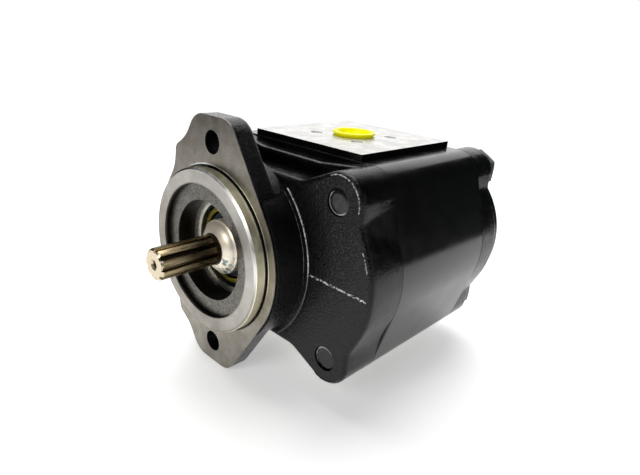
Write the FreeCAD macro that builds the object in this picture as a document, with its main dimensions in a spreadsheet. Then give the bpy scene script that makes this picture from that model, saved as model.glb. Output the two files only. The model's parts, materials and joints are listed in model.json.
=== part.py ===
"""External gear pump with an SAE A two-bolt flange, modelled as its separate pieces, in millimetres.

The origin is where the drive shaft's axis crosses the mounting face. +Y runs back along the shaft,
+X points from the drive gear to the driven gear, and +Z is up, towards the top port.
"""

import FreeCAD, Part
import math
import os

import Sketcher

Vector = FreeCAD.Vector
Rotation = FreeCAD.Rotation
ALONG_Y = Rotation(Vector(1, 0, 0), -90)

doc = FreeCAD.newDocument("gear_pump")
sheet = doc.addObject("Spreadsheet::Sheet", "sizes")


class Size:
    """A size of the design: its value now, and the sheet expression that gives it."""

    def __init__(self, value, text):
        self.value = value
        self.text = text

    def __add__(self, other):
        other = as_size(other)
        return Size(self.value + other.value, f"({self.text} + {other.text})")

    def __sub__(self, other):
        other = as_size(other)
        return Size(self.value - other.value, f"({self.text} - {other.text})")

    def __mul__(self, other):
        other = as_size(other)
        return Size(self.value * other.value, f"({self.text} * {other.text})")

    def __truediv__(self, other):
        other = as_size(other)
        return Size(self.value / other.value, f"({self.text} / {other.text})")

    def __neg__(self):
        return Size(-self.value, f"(-1 * {self.text})")

    def root(self):
        """The square root of a size that is a product of two."""
        return Size(math.sqrt(self.value), f"sqrt({self.text})")

    def sine(self):
        """The sine of an angle in degrees."""
        return Size(math.sin(math.radians(self.value)), f"sin({self.text})")

    def cosine(self):
        """The cosine of an angle in degrees."""
        return Size(math.cos(math.radians(self.value)), f"cos({self.text})")


def as_size(number):
    """A plain number counts as a size that never changes."""
    return number if isinstance(number, Size) else Size(float(number), repr(float(number)))


def cell(alias, number, meaning):
    """One driving dimension, written once in the sheet under its own name."""
    row = cell.row = cell.row + 1
    sheet.set(f"A{row}", meaning)
    sheet.set(f"B{row}", str(number))
    sheet.setAlias(f"B{row}", alias)
    return Size(float(number), f"sizes.{alias}")


cell.row = 0

# ---- Driving dimensions ---------------------------------------------------------------------------

GEAR_CENTRES = cell("gear_centres", 40, "distance between the two gear axes")
GEAR_TEETH = cell("gear_teeth", 12, "teeth on each gear")
GEAR_PRESSURE = cell("gear_pressure_angle", 25, "pressure angle of the teeth, degrees")
GEAR_WIDTH = cell("gear_width", 38, "face width of the gears")
TOOTH_THINNING = cell("tooth_thinning", 0.12, "taken off each tooth at the pitch circle")
TIP_GAP = cell("tip_gap", 0.15, "gap between tooth tips and the housing bore")
SIDE_GAP = cell("side_gap", 0.1, "gap between a gear's side and a bearing block")
RUNNING_GAP = cell("running_gap", 0.03, "radial clearance of a journal in its bush")
SEATING_GAP = cell("seating_gap", 0.05, "gap round a piece that drops into a recess")
JOURNAL_R = cell("journal_radius", 14, "radius of the gear journals")
BUSH_WALL = cell("bush_wall", 1.5, "wall of a journal bush")
JOURNAL_END_GAP = cell("journal_end_gap", 0.6, "gap beyond the end of a journal")

COVER_LENGTH = cell("cover_length", 39.5, "mounting face to the gear housing")
HOUSING_LENGTH = cell("housing_length", 75, "length of the gear housing")
REAR_PLATE = cell("rear_plate", 15.5, "thickness of the rear cover at its ears")
REAR_BOSS = cell("rear_boss", 9.5, "height of the rear cover's boss above its ears")
REAR_BOSS_STEP = cell("rear_boss_step", 2.6, "how far the boss stands in from the outline")
CASE_WALL = cell("case_wall", 23.3, "wall round the gear bore")
EAR_R = cell("ear_radius", 13, "radius of a bolt ear")
EAR_OUT = cell("ear_out", 24, "bolt axis outboard of its gear axis")
EAR_UP = cell("ear_up", 38.3, "bolt axis above or below the gear axes")
SCOOP_R = cell("scoop_radius", 9, "concave radius between an ear and the case round")
SCOOP_FLAT_R = cell("scoop_flat_radius", 90, "the same radius where the scoop runs out at the seam")
SCOOP_EASE = cell("scoop_ease", 0.8, "gap kept between a front scoop and the rounds beside it")
WAIST_R = cell("waist_radius", 12, "concave radius of a cover's waist")
RIM_DROP = cell("rim_drop", 2.6, "drop of the front cover's rim between its ears")
PLATE_DROP = cell("plate_drop", 8.8, "drop of a cover's ear plate between its ears")
RIM_LENGTH = cell("rim_length", 9, "length of the front cover's rim")
SEAM_CHAMFER = cell("seam_chamfer", 0.5, "broken edge on each side of a seam")
CAST_ROUND = cell("cast_round", 2.2, "rounding of a cast edge")
BOSS_ROUND = cell("boss_round", 3.3, "rounding of the rear boss")

FLANGE_THICK = cell("flange_thickness", 11, "thickness of the mounting flange")
FLANGE_LAND = cell("flange_land", 5.725, "flange face left all round the pilot")
FLANGE_HOLE_R = cell("flange_hole_radius", 5.6, "radius of a mounting hole")
FLANGE_HOLE_LAND = cell("flange_hole_land", 6.325, "flange face left from the pilot to a hole")
LOBE_R = cell("lobe_radius", 12, "corner radius of a flange lobe")
LOBE_FLAT = cell("lobe_flat", 7, "half of the flat at the end of a lobe")
LOBE_HUMP_LEAN = cell("lobe_hump_lean", 31.5, "cast hump on the free flank, degrees from upright")
LOBE_HUMP_OUT = cell("lobe_hump_out", 4.5, "centre of that hump beyond the flange's radius")
LOBE_HUMP_R = cell("lobe_hump_radius", 4.5, "radius of that hump")
LOBE_DIP_R = cell("lobe_dip_radius", 20, "concave radius on both sides of that hump")
LOBE_DIP_EASE = cell("lobe_dip_ease", 0.3, "gap kept between a dip and the rounds beside it")
NECK_LENGTH = cell("neck_length", 17.5, "mounting face to the front of the ears")
NECK_STEP = cell("neck_step", 1, "how far the neck stands out from the flange")
PILOT_R = cell("pilot_radius", 41.275, "radius of the pilot")
PILOT_HEIGHT = cell("pilot_height", 6.35, "height of the pilot")
PILOT_CHAMFER = cell("pilot_chamfer", 1.0, "lead-in chamfer of the pilot")
GROOVE_WIDTH = cell("pilot_groove_width", 0.9, "how far the pilot's relief groove runs along each face")
GROOVE_DEPTH = cell("pilot_groove_depth", 0.6, "depth of that groove into each face")
PILOT_WALL = cell("pilot_wall", 7.475, "wall of the pilot round its recess")
RECESS_DEPTH = cell("recess_depth", 2.85, "depth of that recess")
SEAT_R = cell("seal_seat_radius", 25.4, "radius of the seal's seat")
SEAT_BACK = cell("seal_seat_back", 17, "mounting face to the back of the seal's seat")
SHAFT_GAP = cell("shaft_gap", 1, "radial gap between the shaft and the cover behind the seal")

SHAFT_REACH = cell("shaft_reach", 31.75, "mounting face to the end of the shaft")
SPLINE_R = cell("spline_radius", 7.75, "outer radius of the spline")
SPLINE_DEPTH = cell("spline_depth", 1.45, "depth of the spline's grooves")
SPLINE_TEETH = cell("spline_teeth", 9, "teeth of the spline")
SPLINE_TOP = cell("spline_groove_top", 2.5, "width of a spline groove at the outside")
SPLINE_ROOT = cell("spline_groove_root", 1.3, "width of a spline groove at its root")
SPLINE_COLLAR = cell("spline_collar", 2.2, "plain collar between the spline and the cone")
SPLINE_CHAMFER = cell("spline_chamfer", 0.9, "chamfer at the end of the shaft")
CONE_STEP = cell("cone_step", 0.25, "step from the collar to the small end of the cone")
CONE_LENGTH = cell("cone_length", 4.5, "length of the cone up to the seal journal")
CENTRE_R = cell("centre_radius", 1.5, "radius of the centre hole in the shaft's end")
CENTRE_DEPTH = cell("centre_depth", 5, "depth of the centre hole")
CENTRE_SINK = cell("centre_sink", 1.1, "how far the centre hole's countersink widens it")
CENTRE_SINK_DEPTH = cell("centre_sink_depth", 1.9, "depth of that countersink")

RING_FRONT = cell("retaining_ring_front", 6.6, "mounting face to the retaining ring")
RING_THICK = cell("retaining_ring_thickness", 1.6, "thickness of the retaining ring")
RING_BITE = cell("retaining_ring_bite", 1, "depth of the retaining ring's groove")
RING_DEPTH = cell("retaining_ring_depth", 2.2, "how far the ring stands in from its seat")
RING_MOUTH = cell("retaining_ring_mouth", 14, "gap between the ends of the ring")
SEAL_LENGTH = cell("seal_length", 8, "length of the shaft seal")
SEAL_WALL = cell("seal_wall", 1.2, "sheet thickness of the seal's case")
SEAL_RIM = cell("seal_rim", 3.2, "how far the case's front rim stands in")
SUPPORT_GAP = cell("support_gap", 0.77, "gap from the garter spring to the lip's support ring")
SUPPORT_WALL = cell("support_wall", 2, "radial width of that support ring")
LIP_WALL = cell("lip_wall", 1.6, "thickness of the rubber lip")
SPRING_WIRE = cell("spring_wire", 0.8, "half thickness of the garter spring")

PAD_WIDTH = cell("pad_width", 72.3, "width of a port pad")
PAD_RISE = cell("pad_rise", 3.2, "height of a pad above the ears")
PAD_INSET = cell("pad_inset", 0.6, "gap from a pad's end to the seam")
PORT_R = cell("port_radius", 10, "radius of a port")
PORT_PCD = cell("port_pcd", 40, "circle of a port's four tapped holes")
PORT_TAP_R = cell("port_tap_radius", 3.4, "radius of a port's tapped hole")
PORT_TAP_DEPTH = cell("port_tap_depth", 15, "depth of a port's tapped hole")
PLUG_RIM_LAP = cell("plug_rim_lap", 1.6, "how far a dust plug's rim laps over its port's edge")
PLUG_RIM_THICK = cell("plug_rim_thickness", 2, "thickness of a dust plug's rim")
PLUG_LENGTH = cell("plug_length", 11, "length of a dust plug below its rim")
PLUG_WALL = cell("plug_wall", 1.2, "wall of a dust plug")
PLUG_GAP = cell("plug_gap", 0.08, "gap between a dust plug and its port")
PLUG_DISH = cell("plug_dish", 5.5, "depth of the dish in a dust plug")

BOLT_R = cell("bolt_radius", 6, "radius of a case bolt")
BOLT_GAP = cell("bolt_gap", 0.5, "clearance round a case bolt")
BOLT_THREAD_GAP = cell("bolt_thread_gap", 0.1, "gap round a bolt in its tapped hole")
BOLT_SINK = cell("bolt_sink", 0.5, "how far a bolt's end lies below the ear's face")
BOLT_FLATS = cell("bolt_flats", 19, "width across the flats of a bolt head")
BOLT_HEAD = cell("bolt_head", 7.5, "height of a bolt head")
WASHER_R = cell("washer_radius", 11.8, "outer radius of a washer")
WASHER_THICK = cell("washer_thickness", 2.2, "thickness of a washer")
SPOT_GAP = cell("spot_gap", 1, "space round a washer in its spot face")
DOWEL_R = cell("dowel_radius", 4, "radius of a dowel")
DOWEL_REACH = cell("dowel_reach", 6, "how far a dowel reaches into each piece")
DOWEL_END_GAP = cell("dowel_end_gap", 0.5, "space beyond each end of a dowel")

FACE_SEAL_IN = cell("face_seal_wall", 2.2, "wall between the gear bore and the face seal")
FACE_SEAL_WIDTH = cell("face_seal_width", 2.6, "width of the face seal")
FACE_SEAL_DEPTH = cell("face_seal_depth", 2, "depth of the face seal's groove")
LOBE_SEAL_IN = cell("lobe_seal_wall", 1.2, "wall between a bush and the lobe seal's backup")
LOBE_BACKUP_WIDTH = cell("lobe_backup_width", 1, "width of the lobe seal's backup")
LOBE_SEAL_JOIN = cell("lobe_seal_join", 0.6, "how far a lobe seal's rings lap past the middle")
LOBE_SEAL_DEPTH = cell("lobe_seal_depth", 2, "depth of the lobe seal's groove")

# ---- Sizes that follow from them --------------------------------------------------------------------

FLANGE_R = PILOT_R + FLANGE_LAND
FLANGE_HOLE_Z = PILOT_R + FLANGE_HOLE_LAND + FLANGE_HOLE_R
NECK_R = FLANGE_R + NECK_STEP
RECESS_R = PILOT_R - PILOT_WALL
PLUG_RIM_R = PORT_R + PLUG_RIM_LAP
GEAR_MODULE = GEAR_CENTRES / GEAR_TEETH
GEAR_R = GEAR_CENTRES / 2 + GEAR_MODULE
BORE_R = GEAR_R + TIP_GAP
CASE_R = BORE_R + CASE_WALL
MIDDLE_X = GEAR_CENTRES / 2
HOUSING_FRONT = COVER_LENGTH
HOUSING_BACK = HOUSING_FRONT + HOUSING_LENGTH
HOUSING_MIDDLE = HOUSING_FRONT + HOUSING_LENGTH / 2
EARS_BACK = HOUSING_BACK + REAR_PLATE
PAD_TOP = EAR_UP + EAR_R + PAD_RISE
BUSH_R = JOURNAL_R + RUNNING_GAP + BUSH_WALL
GEAR_FRONT = HOUSING_MIDDLE - GEAR_WIDTH / 2
GEAR_BACK = HOUSING_MIDDLE + GEAR_WIDTH / 2
BLOCK_LENGTH = (HOUSING_LENGTH - GEAR_WIDTH) / 2 - SIDE_GAP
RIM_FRONT = COVER_LENGTH - RIM_LENGTH
SEAL_FRONT = RING_FRONT + RING_THICK + SEATING_GAP
ZERO = as_size(0)
OVERRUN = as_size(1)
ROOT_DEPTH = 1.25
FLANK_STEPS = 10
ROUND_STEPS = 3

BOLT_PLACES = [
    (x, z)
    for x in (GEAR_CENTRES + EAR_OUT, -EAR_OUT)
    for z in (EAR_UP, -EAR_UP)
]


# ---- Drawing tools ----------------------------------------------------------------------------------


def bind(thing, path, size):
    """Ties one property of a document object to a size."""
    thing.setExpression(path, as_size(size).text)


def place(thing, x=ZERO, y=ZERO, z=ZERO):
    """Puts a document object where these sizes say."""
    for letter, size in (("x", x), ("y", y), ("z", z)):
        bind(thing, f"Placement.Base.{letter}", size)
    return thing


def new_body(name):
    return doc.addObject("PartDesign::Body", name)


def new_sketch(body, name, plane, offset=ZERO):
    """A sketch on one of the body's own planes, offset along that plane's normal."""
    sketch = body.newObject("Sketcher::SketchObject", name)
    base = [f for f in body.Origin.OriginFeatures if f.Role == plane][0]
    sketch.AttachmentSupport = [(base, "")]
    sketch.MapMode = "FlatFace"
    bind(sketch, "AttachmentOffset.Base.z", offset)
    return sketch


def fix_point(sketch, item, point, x, y):
    """Holds one point of a sketch at these two sizes."""
    for kind, size in (("DistanceX", x), ("DistanceY", y)):
        number = sketch.addConstraint(
            Sketcher.Constraint(kind, -1, 1, item, point, as_size(size).value)
        )
        bind(sketch, f"Constraints[{number}]", size)


def draw_polygon(sketch, points):
    """A closed outline of straight lines through these points."""
    corners = [Vector(as_size(x).value, as_size(y).value, 0) for x, y in points]
    count = len(corners)
    lines = [
        sketch.addGeometry(Part.LineSegment(corners[i], corners[(i + 1) % count]), False)
        for i in range(count)
    ]
    for i, line in enumerate(lines):
        sketch.addConstraint(Sketcher.Constraint("Coincident", line, 2, lines[(i + 1) % count], 1))
        fix_point(sketch, line, 1, *points[i])


def draw_belt(sketch, rounds):
    """A closed outline of tangent lines and arcs, run anticlockwise like a belt.

    Each round is (x, y, radius, side): side is 1 where the outline bulges round it and -1 where the
    outline dips round it.
    """
    count = len(rounds)
    centres = [Vector(as_size(x).value, as_size(y).value, 0) for x, y, _, _ in rounds]
    signed = [as_size(radius).value * side for _, _, radius, side in rounds]
    contacts = []
    for i in range(count):
        j = (i + 1) % count
        span = centres[j] - centres[i]
        heading = math.atan2(span.y, span.x)
        heading += math.asin((signed[i] - signed[j]) / span.Length)
        outward = Vector(math.sin(heading), -math.cos(heading), 0)
        contacts.append((centres[i] + outward * signed[i], centres[j] + outward * signed[j]))
    lines = [sketch.addGeometry(Part.LineSegment(*pair), False) for pair in contacts]
    for i, (x, y, radius, side) in enumerate(rounds):
        arriving, leaving = contacts[i - 1][1], contacts[i][0]
        first, last = (arriving, leaving) if side > 0 else (leaving, arriving)
        start = math.atan2(first.y - centres[i].y, first.x - centres[i].x)
        end = math.atan2(last.y - centres[i].y, last.x - centres[i].x)
        while end <= start:
            end += 2 * math.pi
        circle = Part.Circle(centres[i], Vector(0, 0, 1), abs(signed[i]))
        arc = sketch.addGeometry(Part.ArcOfCircle(circle, start, end), False)
        fix_point(sketch, arc, 3, x, y)
        number = sketch.addConstraint(Sketcher.Constraint("Radius", arc, abs(signed[i])))
        bind(sketch, f"Constraints[{number}]", radius)
        arc_in, arc_out = (1, 2) if side > 0 else (2, 1)
        sketch.addConstraint(Sketcher.Constraint("Tangent", lines[i - 1], 2, arc, arc_in))
        sketch.addConstraint(Sketcher.Constraint("Tangent", arc, arc_out, lines[i], 1))


def pad_along_y(body, sketch, name, length, draft=0):
    """Pads a sketch that stands on the XZ plane towards +Y, shrinking by the draft, in degrees."""
    pad = body.newObject("PartDesign::Pad", name)
    pad.Profile = sketch
    pad.Reversed = True
    bind(pad, "Length", length)
    pad.TaperAngle = -draft
    return pad


def belt_slab(name, front, length, *outlines, draft=0):
    """A body padded along +Y from its front face. A second outline cuts a hole in the first."""
    body = new_body(name)
    sketch = new_sketch(body, f"{name}_outline", "XZ_Plane", -as_size(front))
    for rounds in outlines:
        draw_belt(sketch, rounds)
    pad_along_y(body, sketch, f"{name}_pad", length, draft)
    return body


def turned(name, points, axis="Y", at=(ZERO, ZERO, ZERO)):
    """A round body turned from the outline of (radius, place along the axis) points."""
    body = new_body(name)
    plane = {"Y": "XY_Plane", "Z": "XZ_Plane"}[axis]
    sketch = new_sketch(body, f"{name}_outline", plane)
    draw_polygon(sketch, points)
    turn = body.newObject("PartDesign::Revolution", f"{name}_turn")
    turn.Profile = sketch
    turn.ReferenceAxis = (sketch, ["V_Axis"])
    turn.Angle = 360
    return place(body, *at)


def tube_points(inner, outer, start, end):
    """The outline of a plain tube, for turned()."""
    return [(inner, start), (outer, start), (outer, end), (inner, end)]


def rod(name, radius, start, length, x=ZERO, z=ZERO):
    """A cylinder along +Y from its start."""
    item = doc.addObject("Part::Cylinder", name)
    bind(item, "Radius", radius)
    bind(item, "Height", length)
    item.Placement = FreeCAD.Placement(Vector(), ALONG_Y)
    return place(item, x, start, z)


def post(name, radius, start, length, x=ZERO, y=ZERO):
    """A cylinder along +Z from its start."""
    item = doc.addObject("Part::Cylinder", name)
    bind(item, "Radius", radius)
    bind(item, "Height", length)
    return place(item, x, y, start)


def block(name, low, high):
    """A box between two corners."""
    item = doc.addObject("Part::Box", name)
    for side, start, end in zip(("Length", "Width", "Height"), low, high):
        bind(item, side, as_size(end) - start)
    return place(item, *low)


def fused(name, *items):
    joined = doc.addObject("Part::MultiFuse", name)
    joined.Shapes = list(items)
    joined.Refine = True
    return joined


def cut(name, base, *tools):
    """The base with the tools taken away."""
    result = doc.addObject("Part::Cut", name)
    result.Base = base
    result.Tool = tools[0] if len(tools) == 1 else fused(f"{name}_tools", *tools)
    return result


def group(name, items):
    """Identical loose pieces kept as one node."""
    together = doc.addObject("Part::Compound", name)
    together.Links = list(items)
    return together


def edges_at_y(shape, y):
    """The names of the edges that lie in the plane across the shaft at y."""
    flat = 1e-4
    return [
        f"Edge{number}"
        for number, edge in enumerate(shape.Edges, 1)
        if abs(edge.BoundBox.YMin - y) < flat and abs(edge.BoundBox.YMax - y) < flat
    ]


def dress_edges(body, kind, name, y, size):
    """Rounds ("Fillet") or breaks ("Chamfer") a body's outer edges in the plane at y."""
    doc.recompute()
    tip = body.Tip
    names = edges_at_y(tip.Shape, y.value)
    dress = body.newObject(f"PartDesign::{kind}", name)
    dress.Base = (tip, names)
    bind(dress, "Radius" if kind == "Fillet" else "Size", size)
    body.Tip = dress
    return dress


def finish_piece(item, label):
    item.Label = label
    PIECES.append(item)
    return item


PIECES = []

# ---- Outlines that more than one piece shares ---------------------------------------------------------

RIGHT_X = GEAR_CENTRES + EAR_OUT
LEFT_X = -EAR_OUT


def dip(reach_x, reach_z, first_r, second_r, radius, ease):
    """The centre of a concave round that runs into two rounds, measured from the first round's centre.

    The second round's centre is reach_x and reach_z away, both taken above zero, and the concave
    round lies on the outer side. ease is the gap that leaves a straight between the rounds.
    """
    apart = (reach_x * reach_x + reach_z * reach_z).root()
    from_first = first_r + radius + ease
    from_second = second_r + radius + ease
    along = (from_first * from_first - from_second * from_second + apart * apart) / (apart * 2)
    beside = (from_first * from_first - along * along).root()
    out = (along * reach_x + beside * reach_z) / apart
    up = (along * reach_z - beside * reach_x) / apart
    return out, up


def scoop_round(x_side, z_side, radius, inset):
    """The concave round that runs into both an ear and the case round beside it."""
    ease = SCOOP_EASE * SCOOP_R / radius
    out, up = dip(EAR_OUT, EAR_UP, CASE_R, EAR_R, radius, ease)
    return (GEAR_CENTRES + out if x_side > 0 else -out, up * z_side, radius + inset, -1)


def waist_round(x_side, z_side, waist, inset):
    """The concave round where the top or bottom drops from an ear to the waist."""
    inward = EAR_R + WAIST_R
    centre_x = RIGHT_X - inward if x_side > 0 else LEFT_X + inward
    return (centre_x, (waist + WAIST_R) * z_side, WAIST_R + inset, -1)


def case_corner(x_side, z_side, scoop, waist, inset):
    """The rounds of one corner, from the case round to the middle of the top or bottom."""
    rounds = [(RIGHT_X if x_side > 0 else LEFT_X, EAR_UP * z_side, EAR_R - inset, 1)]
    if scoop:
        rounds.insert(0, scoop_round(x_side, z_side, scoop, inset))
    if waist:
        rounds.append(waist_round(x_side, z_side, waist, inset))
    return rounds


def case_outline(scoop=None, waist=None, inset=None):
    """The pump's outline across the shaft: a round over each gear and an ear at each bolt.

    scoop is the concave radius between an ear and a round, and waist the half height between the
    ears. Without them the outline runs straight from one to the next. inset draws it that much
    smaller all round.
    """
    inset = inset or ZERO
    return [
        (GEAR_CENTRES, ZERO, CASE_R - inset, 1),
        *case_corner(1, 1, scoop, waist, inset),
        *reversed(case_corner(-1, 1, scoop, waist, inset)),
        (ZERO, ZERO, CASE_R - inset, 1),
        *case_corner(-1, -1, scoop, waist, inset),
        *reversed(case_corner(1, -1, scoop, waist, inset)),
    ]


def gear_pair_outline(radius):
    """A racetrack round both gear axes."""
    return [(GEAR_CENTRES, ZERO, radius, 1), (ZERO, ZERO, radius, 1)]


def bolt_holes(name, radius, start, length):
    return [rod(f"{name}_{i}", radius, start, length, x, z) for i, (x, z) in enumerate(BOLT_PLACES)]


def dowel_rods(name, radius, start, length):
    """Rods in the wall at the far side of each gear."""
    out = (BORE_R + CASE_R) / 2
    return [
        rod(f"{name}_{i}", radius, start, length, x)
        for i, x in enumerate((GEAR_CENTRES + out, -out))
    ]


def face_seal_slab(name, front, length, slack=ZERO):
    """The racetrack ring of a face seal, or with slack below zero the groove it lies in."""
    inner = BORE_R + FACE_SEAL_IN
    outlines = gear_pair_outline(inner + FACE_SEAL_WIDTH - slack), gear_pair_outline(inner + slack)
    return belt_slab(name, front, length, *outlines)


def figure_eight(name, radius, start, length):
    """Two rods, one on each gear axis, as one solid."""
    rods = [rod(f"{name}_{i}", radius, start, length, x) for i, x in enumerate((ZERO, GEAR_CENTRES))]
    return fused(name, *rods)


def figure_eight_ring(name, inner, outer, start, length):
    return cut(
        name,
        figure_eight(f"{name}_outside", outer, start, length),
        figure_eight(f"{name}_inside", inner, start - OVERRUN, length + OVERRUN * 2),
    )


# ---- Shaft-end cover ----------------------------------------------------------------------------------


def flange_outline():
    """The two-lobed flange. Its flank away from the driven gear has a small cast hump on each lobe."""
    hump_out = (FLANGE_R + LOBE_HUMP_OUT) * LOBE_HUMP_LEAN.sine()
    hump_up = (FLANGE_R + LOBE_HUMP_OUT) * LOBE_HUMP_LEAN.cosine()
    low_out, low_up = dip(hump_out, hump_up, FLANGE_R, LOBE_HUMP_R, LOBE_DIP_R, LOBE_DIP_EASE)
    reach_x, reach_z = hump_out - LOBE_FLAT, FLANGE_HOLE_Z - hump_up
    up, inward = dip(reach_z, reach_x, LOBE_HUMP_R, LOBE_R, LOBE_DIP_R, LOBE_DIP_EASE)
    high_out, high_up = hump_out - inward, hump_up + up
    flank = [
        (-LOBE_FLAT, FLANGE_HOLE_Z, LOBE_R, 1),
        (-high_out, high_up, LOBE_DIP_R, -1),
        (-hump_out, hump_up, LOBE_HUMP_R, 1),
        (-low_out, low_up, LOBE_DIP_R, -1),
    ]
    return [
        (ZERO, ZERO, FLANGE_R, 1),
        (LOBE_FLAT, FLANGE_HOLE_Z, LOBE_R, 1),
        *flank,
        (ZERO, ZERO, FLANGE_R, 1),
        *[(x, -z, radius, side) for x, z, radius, side in reversed(flank)],
        (LOBE_FLAT, -FLANGE_HOLE_Z, LOBE_R, 1),
    ]


def cover_shell():
    """The ear plate: scooped between ears and rounds at its front, nearly straight at the seam."""
    body = new_body("cover_shell")
    plate_waist = EAR_UP + EAR_R - PLATE_DROP
    sections = []
    for step in range(ROUND_STEPS + 1):
        turn = math.pi / 2 * step / ROUND_STEPS
        inset = CAST_ROUND * (1 - math.sin(turn))
        y = NECK_LENGTH + CAST_ROUND * (1 - math.cos(turn))
        section = new_sketch(body, f"shell_section_{step}", "XZ_Plane", -y)
        draw_belt(section, case_outline(SCOOP_R, plate_waist, inset))
        sections.append(section)
    back = new_sketch(body, "shell_back", "XZ_Plane", -COVER_LENGTH)
    draw_belt(back, case_outline(SCOOP_FLAT_R, plate_waist))
    loft = body.newObject("PartDesign::AdditiveLoft", "shell_loft")
    loft.Profile = sections[0]
    loft.Sections = sections[1:] + [back]
    loft.Ruled = True
    return body


def make_shaft_end_cover():
    flange = belt_slab("flange", ZERO, FLANGE_THICK, flange_outline())
    dress_edges(flange, "Fillet", "flange_round", FLANGE_THICK, CAST_ROUND)
    rim = belt_slab(
        "rim", RIM_FRONT, RIM_LENGTH, case_outline(SCOOP_R, EAR_UP + EAR_R - RIM_DROP)
    )
    dress_edges(rim, "Fillet", "rim_round", RIM_FRONT, CAST_ROUND)
    neck = rod("neck", NECK_R, OVERRUN, NECK_LENGTH - OVERRUN)
    pilot = turned(
        "pilot",
        [
            (ZERO, -PILOT_HEIGHT),
            (PILOT_R - PILOT_CHAMFER, -PILOT_HEIGHT),
            (PILOT_R, PILOT_CHAMFER - PILOT_HEIGHT),
            (PILOT_R, OVERRUN),
            (ZERO, OVERRUN),
        ],
    )
    groove_in, groove_out = PILOT_R - GROOVE_DEPTH, PILOT_R + GROOVE_WIDTH
    relief = turned(
        "pilot_relief", tube_points(groove_in, groove_out, -GROOVE_WIDTH, GROOVE_DEPTH)
    )
    recess_floor = RECESS_DEPTH - PILOT_HEIGHT
    ring_back = RING_FRONT + RING_THICK + SEATING_GAP
    shaft_hole = JOURNAL_R + SHAFT_GAP
    bore = turned(
        "cover_bore",
        [
            (ZERO, -PILOT_HEIGHT - OVERRUN),
            (RECESS_R, -PILOT_HEIGHT - OVERRUN),
            (RECESS_R, recess_floor),
            (SEAT_R, recess_floor),
            (SEAT_R, RING_FRONT - SEATING_GAP),
            (SEAT_R + RING_BITE + SEATING_GAP, RING_FRONT - SEATING_GAP),
            (SEAT_R + RING_BITE + SEATING_GAP, ring_back),
            (SEAT_R, ring_back),
            (SEAT_R, SEAT_BACK),
            (shaft_hole, SEAT_BACK),
            (shaft_hole, COVER_LENGTH + OVERRUN),
            (ZERO, COVER_LENGTH + OVERRUN),
        ],
    )
    flange_holes = [
        rod(f"flange_hole_{i}", FLANGE_HOLE_R, -OVERRUN, FLANGE_THICK + OVERRUN * 2, ZERO, z)
        for i, z in enumerate((FLANGE_HOLE_Z, -FLANGE_HOLE_Z))
    ]
    threads = bolt_holes(
        "cover_thread",
        BOLT_R + BOLT_THREAD_GAP,
        NECK_LENGTH - OVERRUN,
        COVER_LENGTH - NECK_LENGTH + OVERRUN * 2,
    )
    dowel_start = COVER_LENGTH - DOWEL_REACH - DOWEL_END_GAP
    dowels = dowel_rods("cover_dowel_hole", DOWEL_R, dowel_start, DOWEL_REACH + OVERRUN * 2)
    groove = face_seal_slab(
        "cover_groove", COVER_LENGTH - FACE_SEAL_DEPTH, FACE_SEAL_DEPTH + OVERRUN, -SEATING_GAP
    )
    solid = fused("cover_solid", cover_shell(), flange, rim, neck, pilot)
    holes = [bore, relief, groove, *flange_holes, *threads, *dowels]
    return finish_piece(cut("cover", solid, *holes), "shaft_end_cover")


# ---- Gear housing -------------------------------------------------------------------------------------


def port_cutters(name, side):
    """A port and its four tapped holes, through the top pad (side 1) or the bottom one (side -1)."""
    top = PAD_TOP + OVERRUN
    spot = PORT_PCD / 2 * math.sqrt(0.5)
    start = ZERO if side > 0 else -top
    cutters = [post(f"{name}_port", PORT_R, start, top, MIDDLE_X, HOUSING_MIDDLE)]
    tap_start = PAD_TOP - PORT_TAP_DEPTH if side > 0 else -top
    for i, (x_side, y_side) in enumerate(((1, 1), (-1, 1), (-1, -1), (1, -1))):
        x = MIDDLE_X + spot * x_side
        y = HOUSING_MIDDLE + spot * y_side
        length = PORT_TAP_DEPTH + OVERRUN
        cutters.append(post(f"{name}_tap_{i}", PORT_TAP_R, tap_start, length, x, y))
    return cutters


def make_gear_housing():
    case = belt_slab("case", HOUSING_FRONT, HOUSING_LENGTH, case_outline())
    dress_edges(case, "Chamfer", "case_front_edge", HOUSING_FRONT, SEAM_CHAMFER)
    dress_edges(case, "Chamfer", "case_back_edge", HOUSING_BACK, SEAM_CHAMFER)
    half = PAD_WIDTH / 2
    pads = block(
        "pads",
        (MIDDLE_X - half, HOUSING_FRONT + PAD_INSET, -PAD_TOP),
        (MIDDLE_X + half, HOUSING_BACK - PAD_INSET, PAD_TOP),
    )
    through = HOUSING_FRONT - OVERRUN, HOUSING_LENGTH + OVERRUN * 2
    solid = fused("housing_solid", case, pads)
    holes = [
        figure_eight("gear_bore", BORE_R, *through),
        *bolt_holes("housing_bolt_hole", BOLT_R + BOLT_GAP, *through),
        *port_cutters("top", 1),
        *port_cutters("bottom", -1),
    ]
    deep = DOWEL_REACH + DOWEL_END_GAP
    holes += dowel_rods("housing_front_dowel", DOWEL_R, HOUSING_FRONT - OVERRUN, deep + OVERRUN)
    holes += dowel_rods("housing_back_dowel", DOWEL_R, HOUSING_BACK - deep, deep + OVERRUN)
    return finish_piece(cut("housing", solid, *holes), "gear_housing")


# ---- Rear cover ---------------------------------------------------------------------------------------


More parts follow.
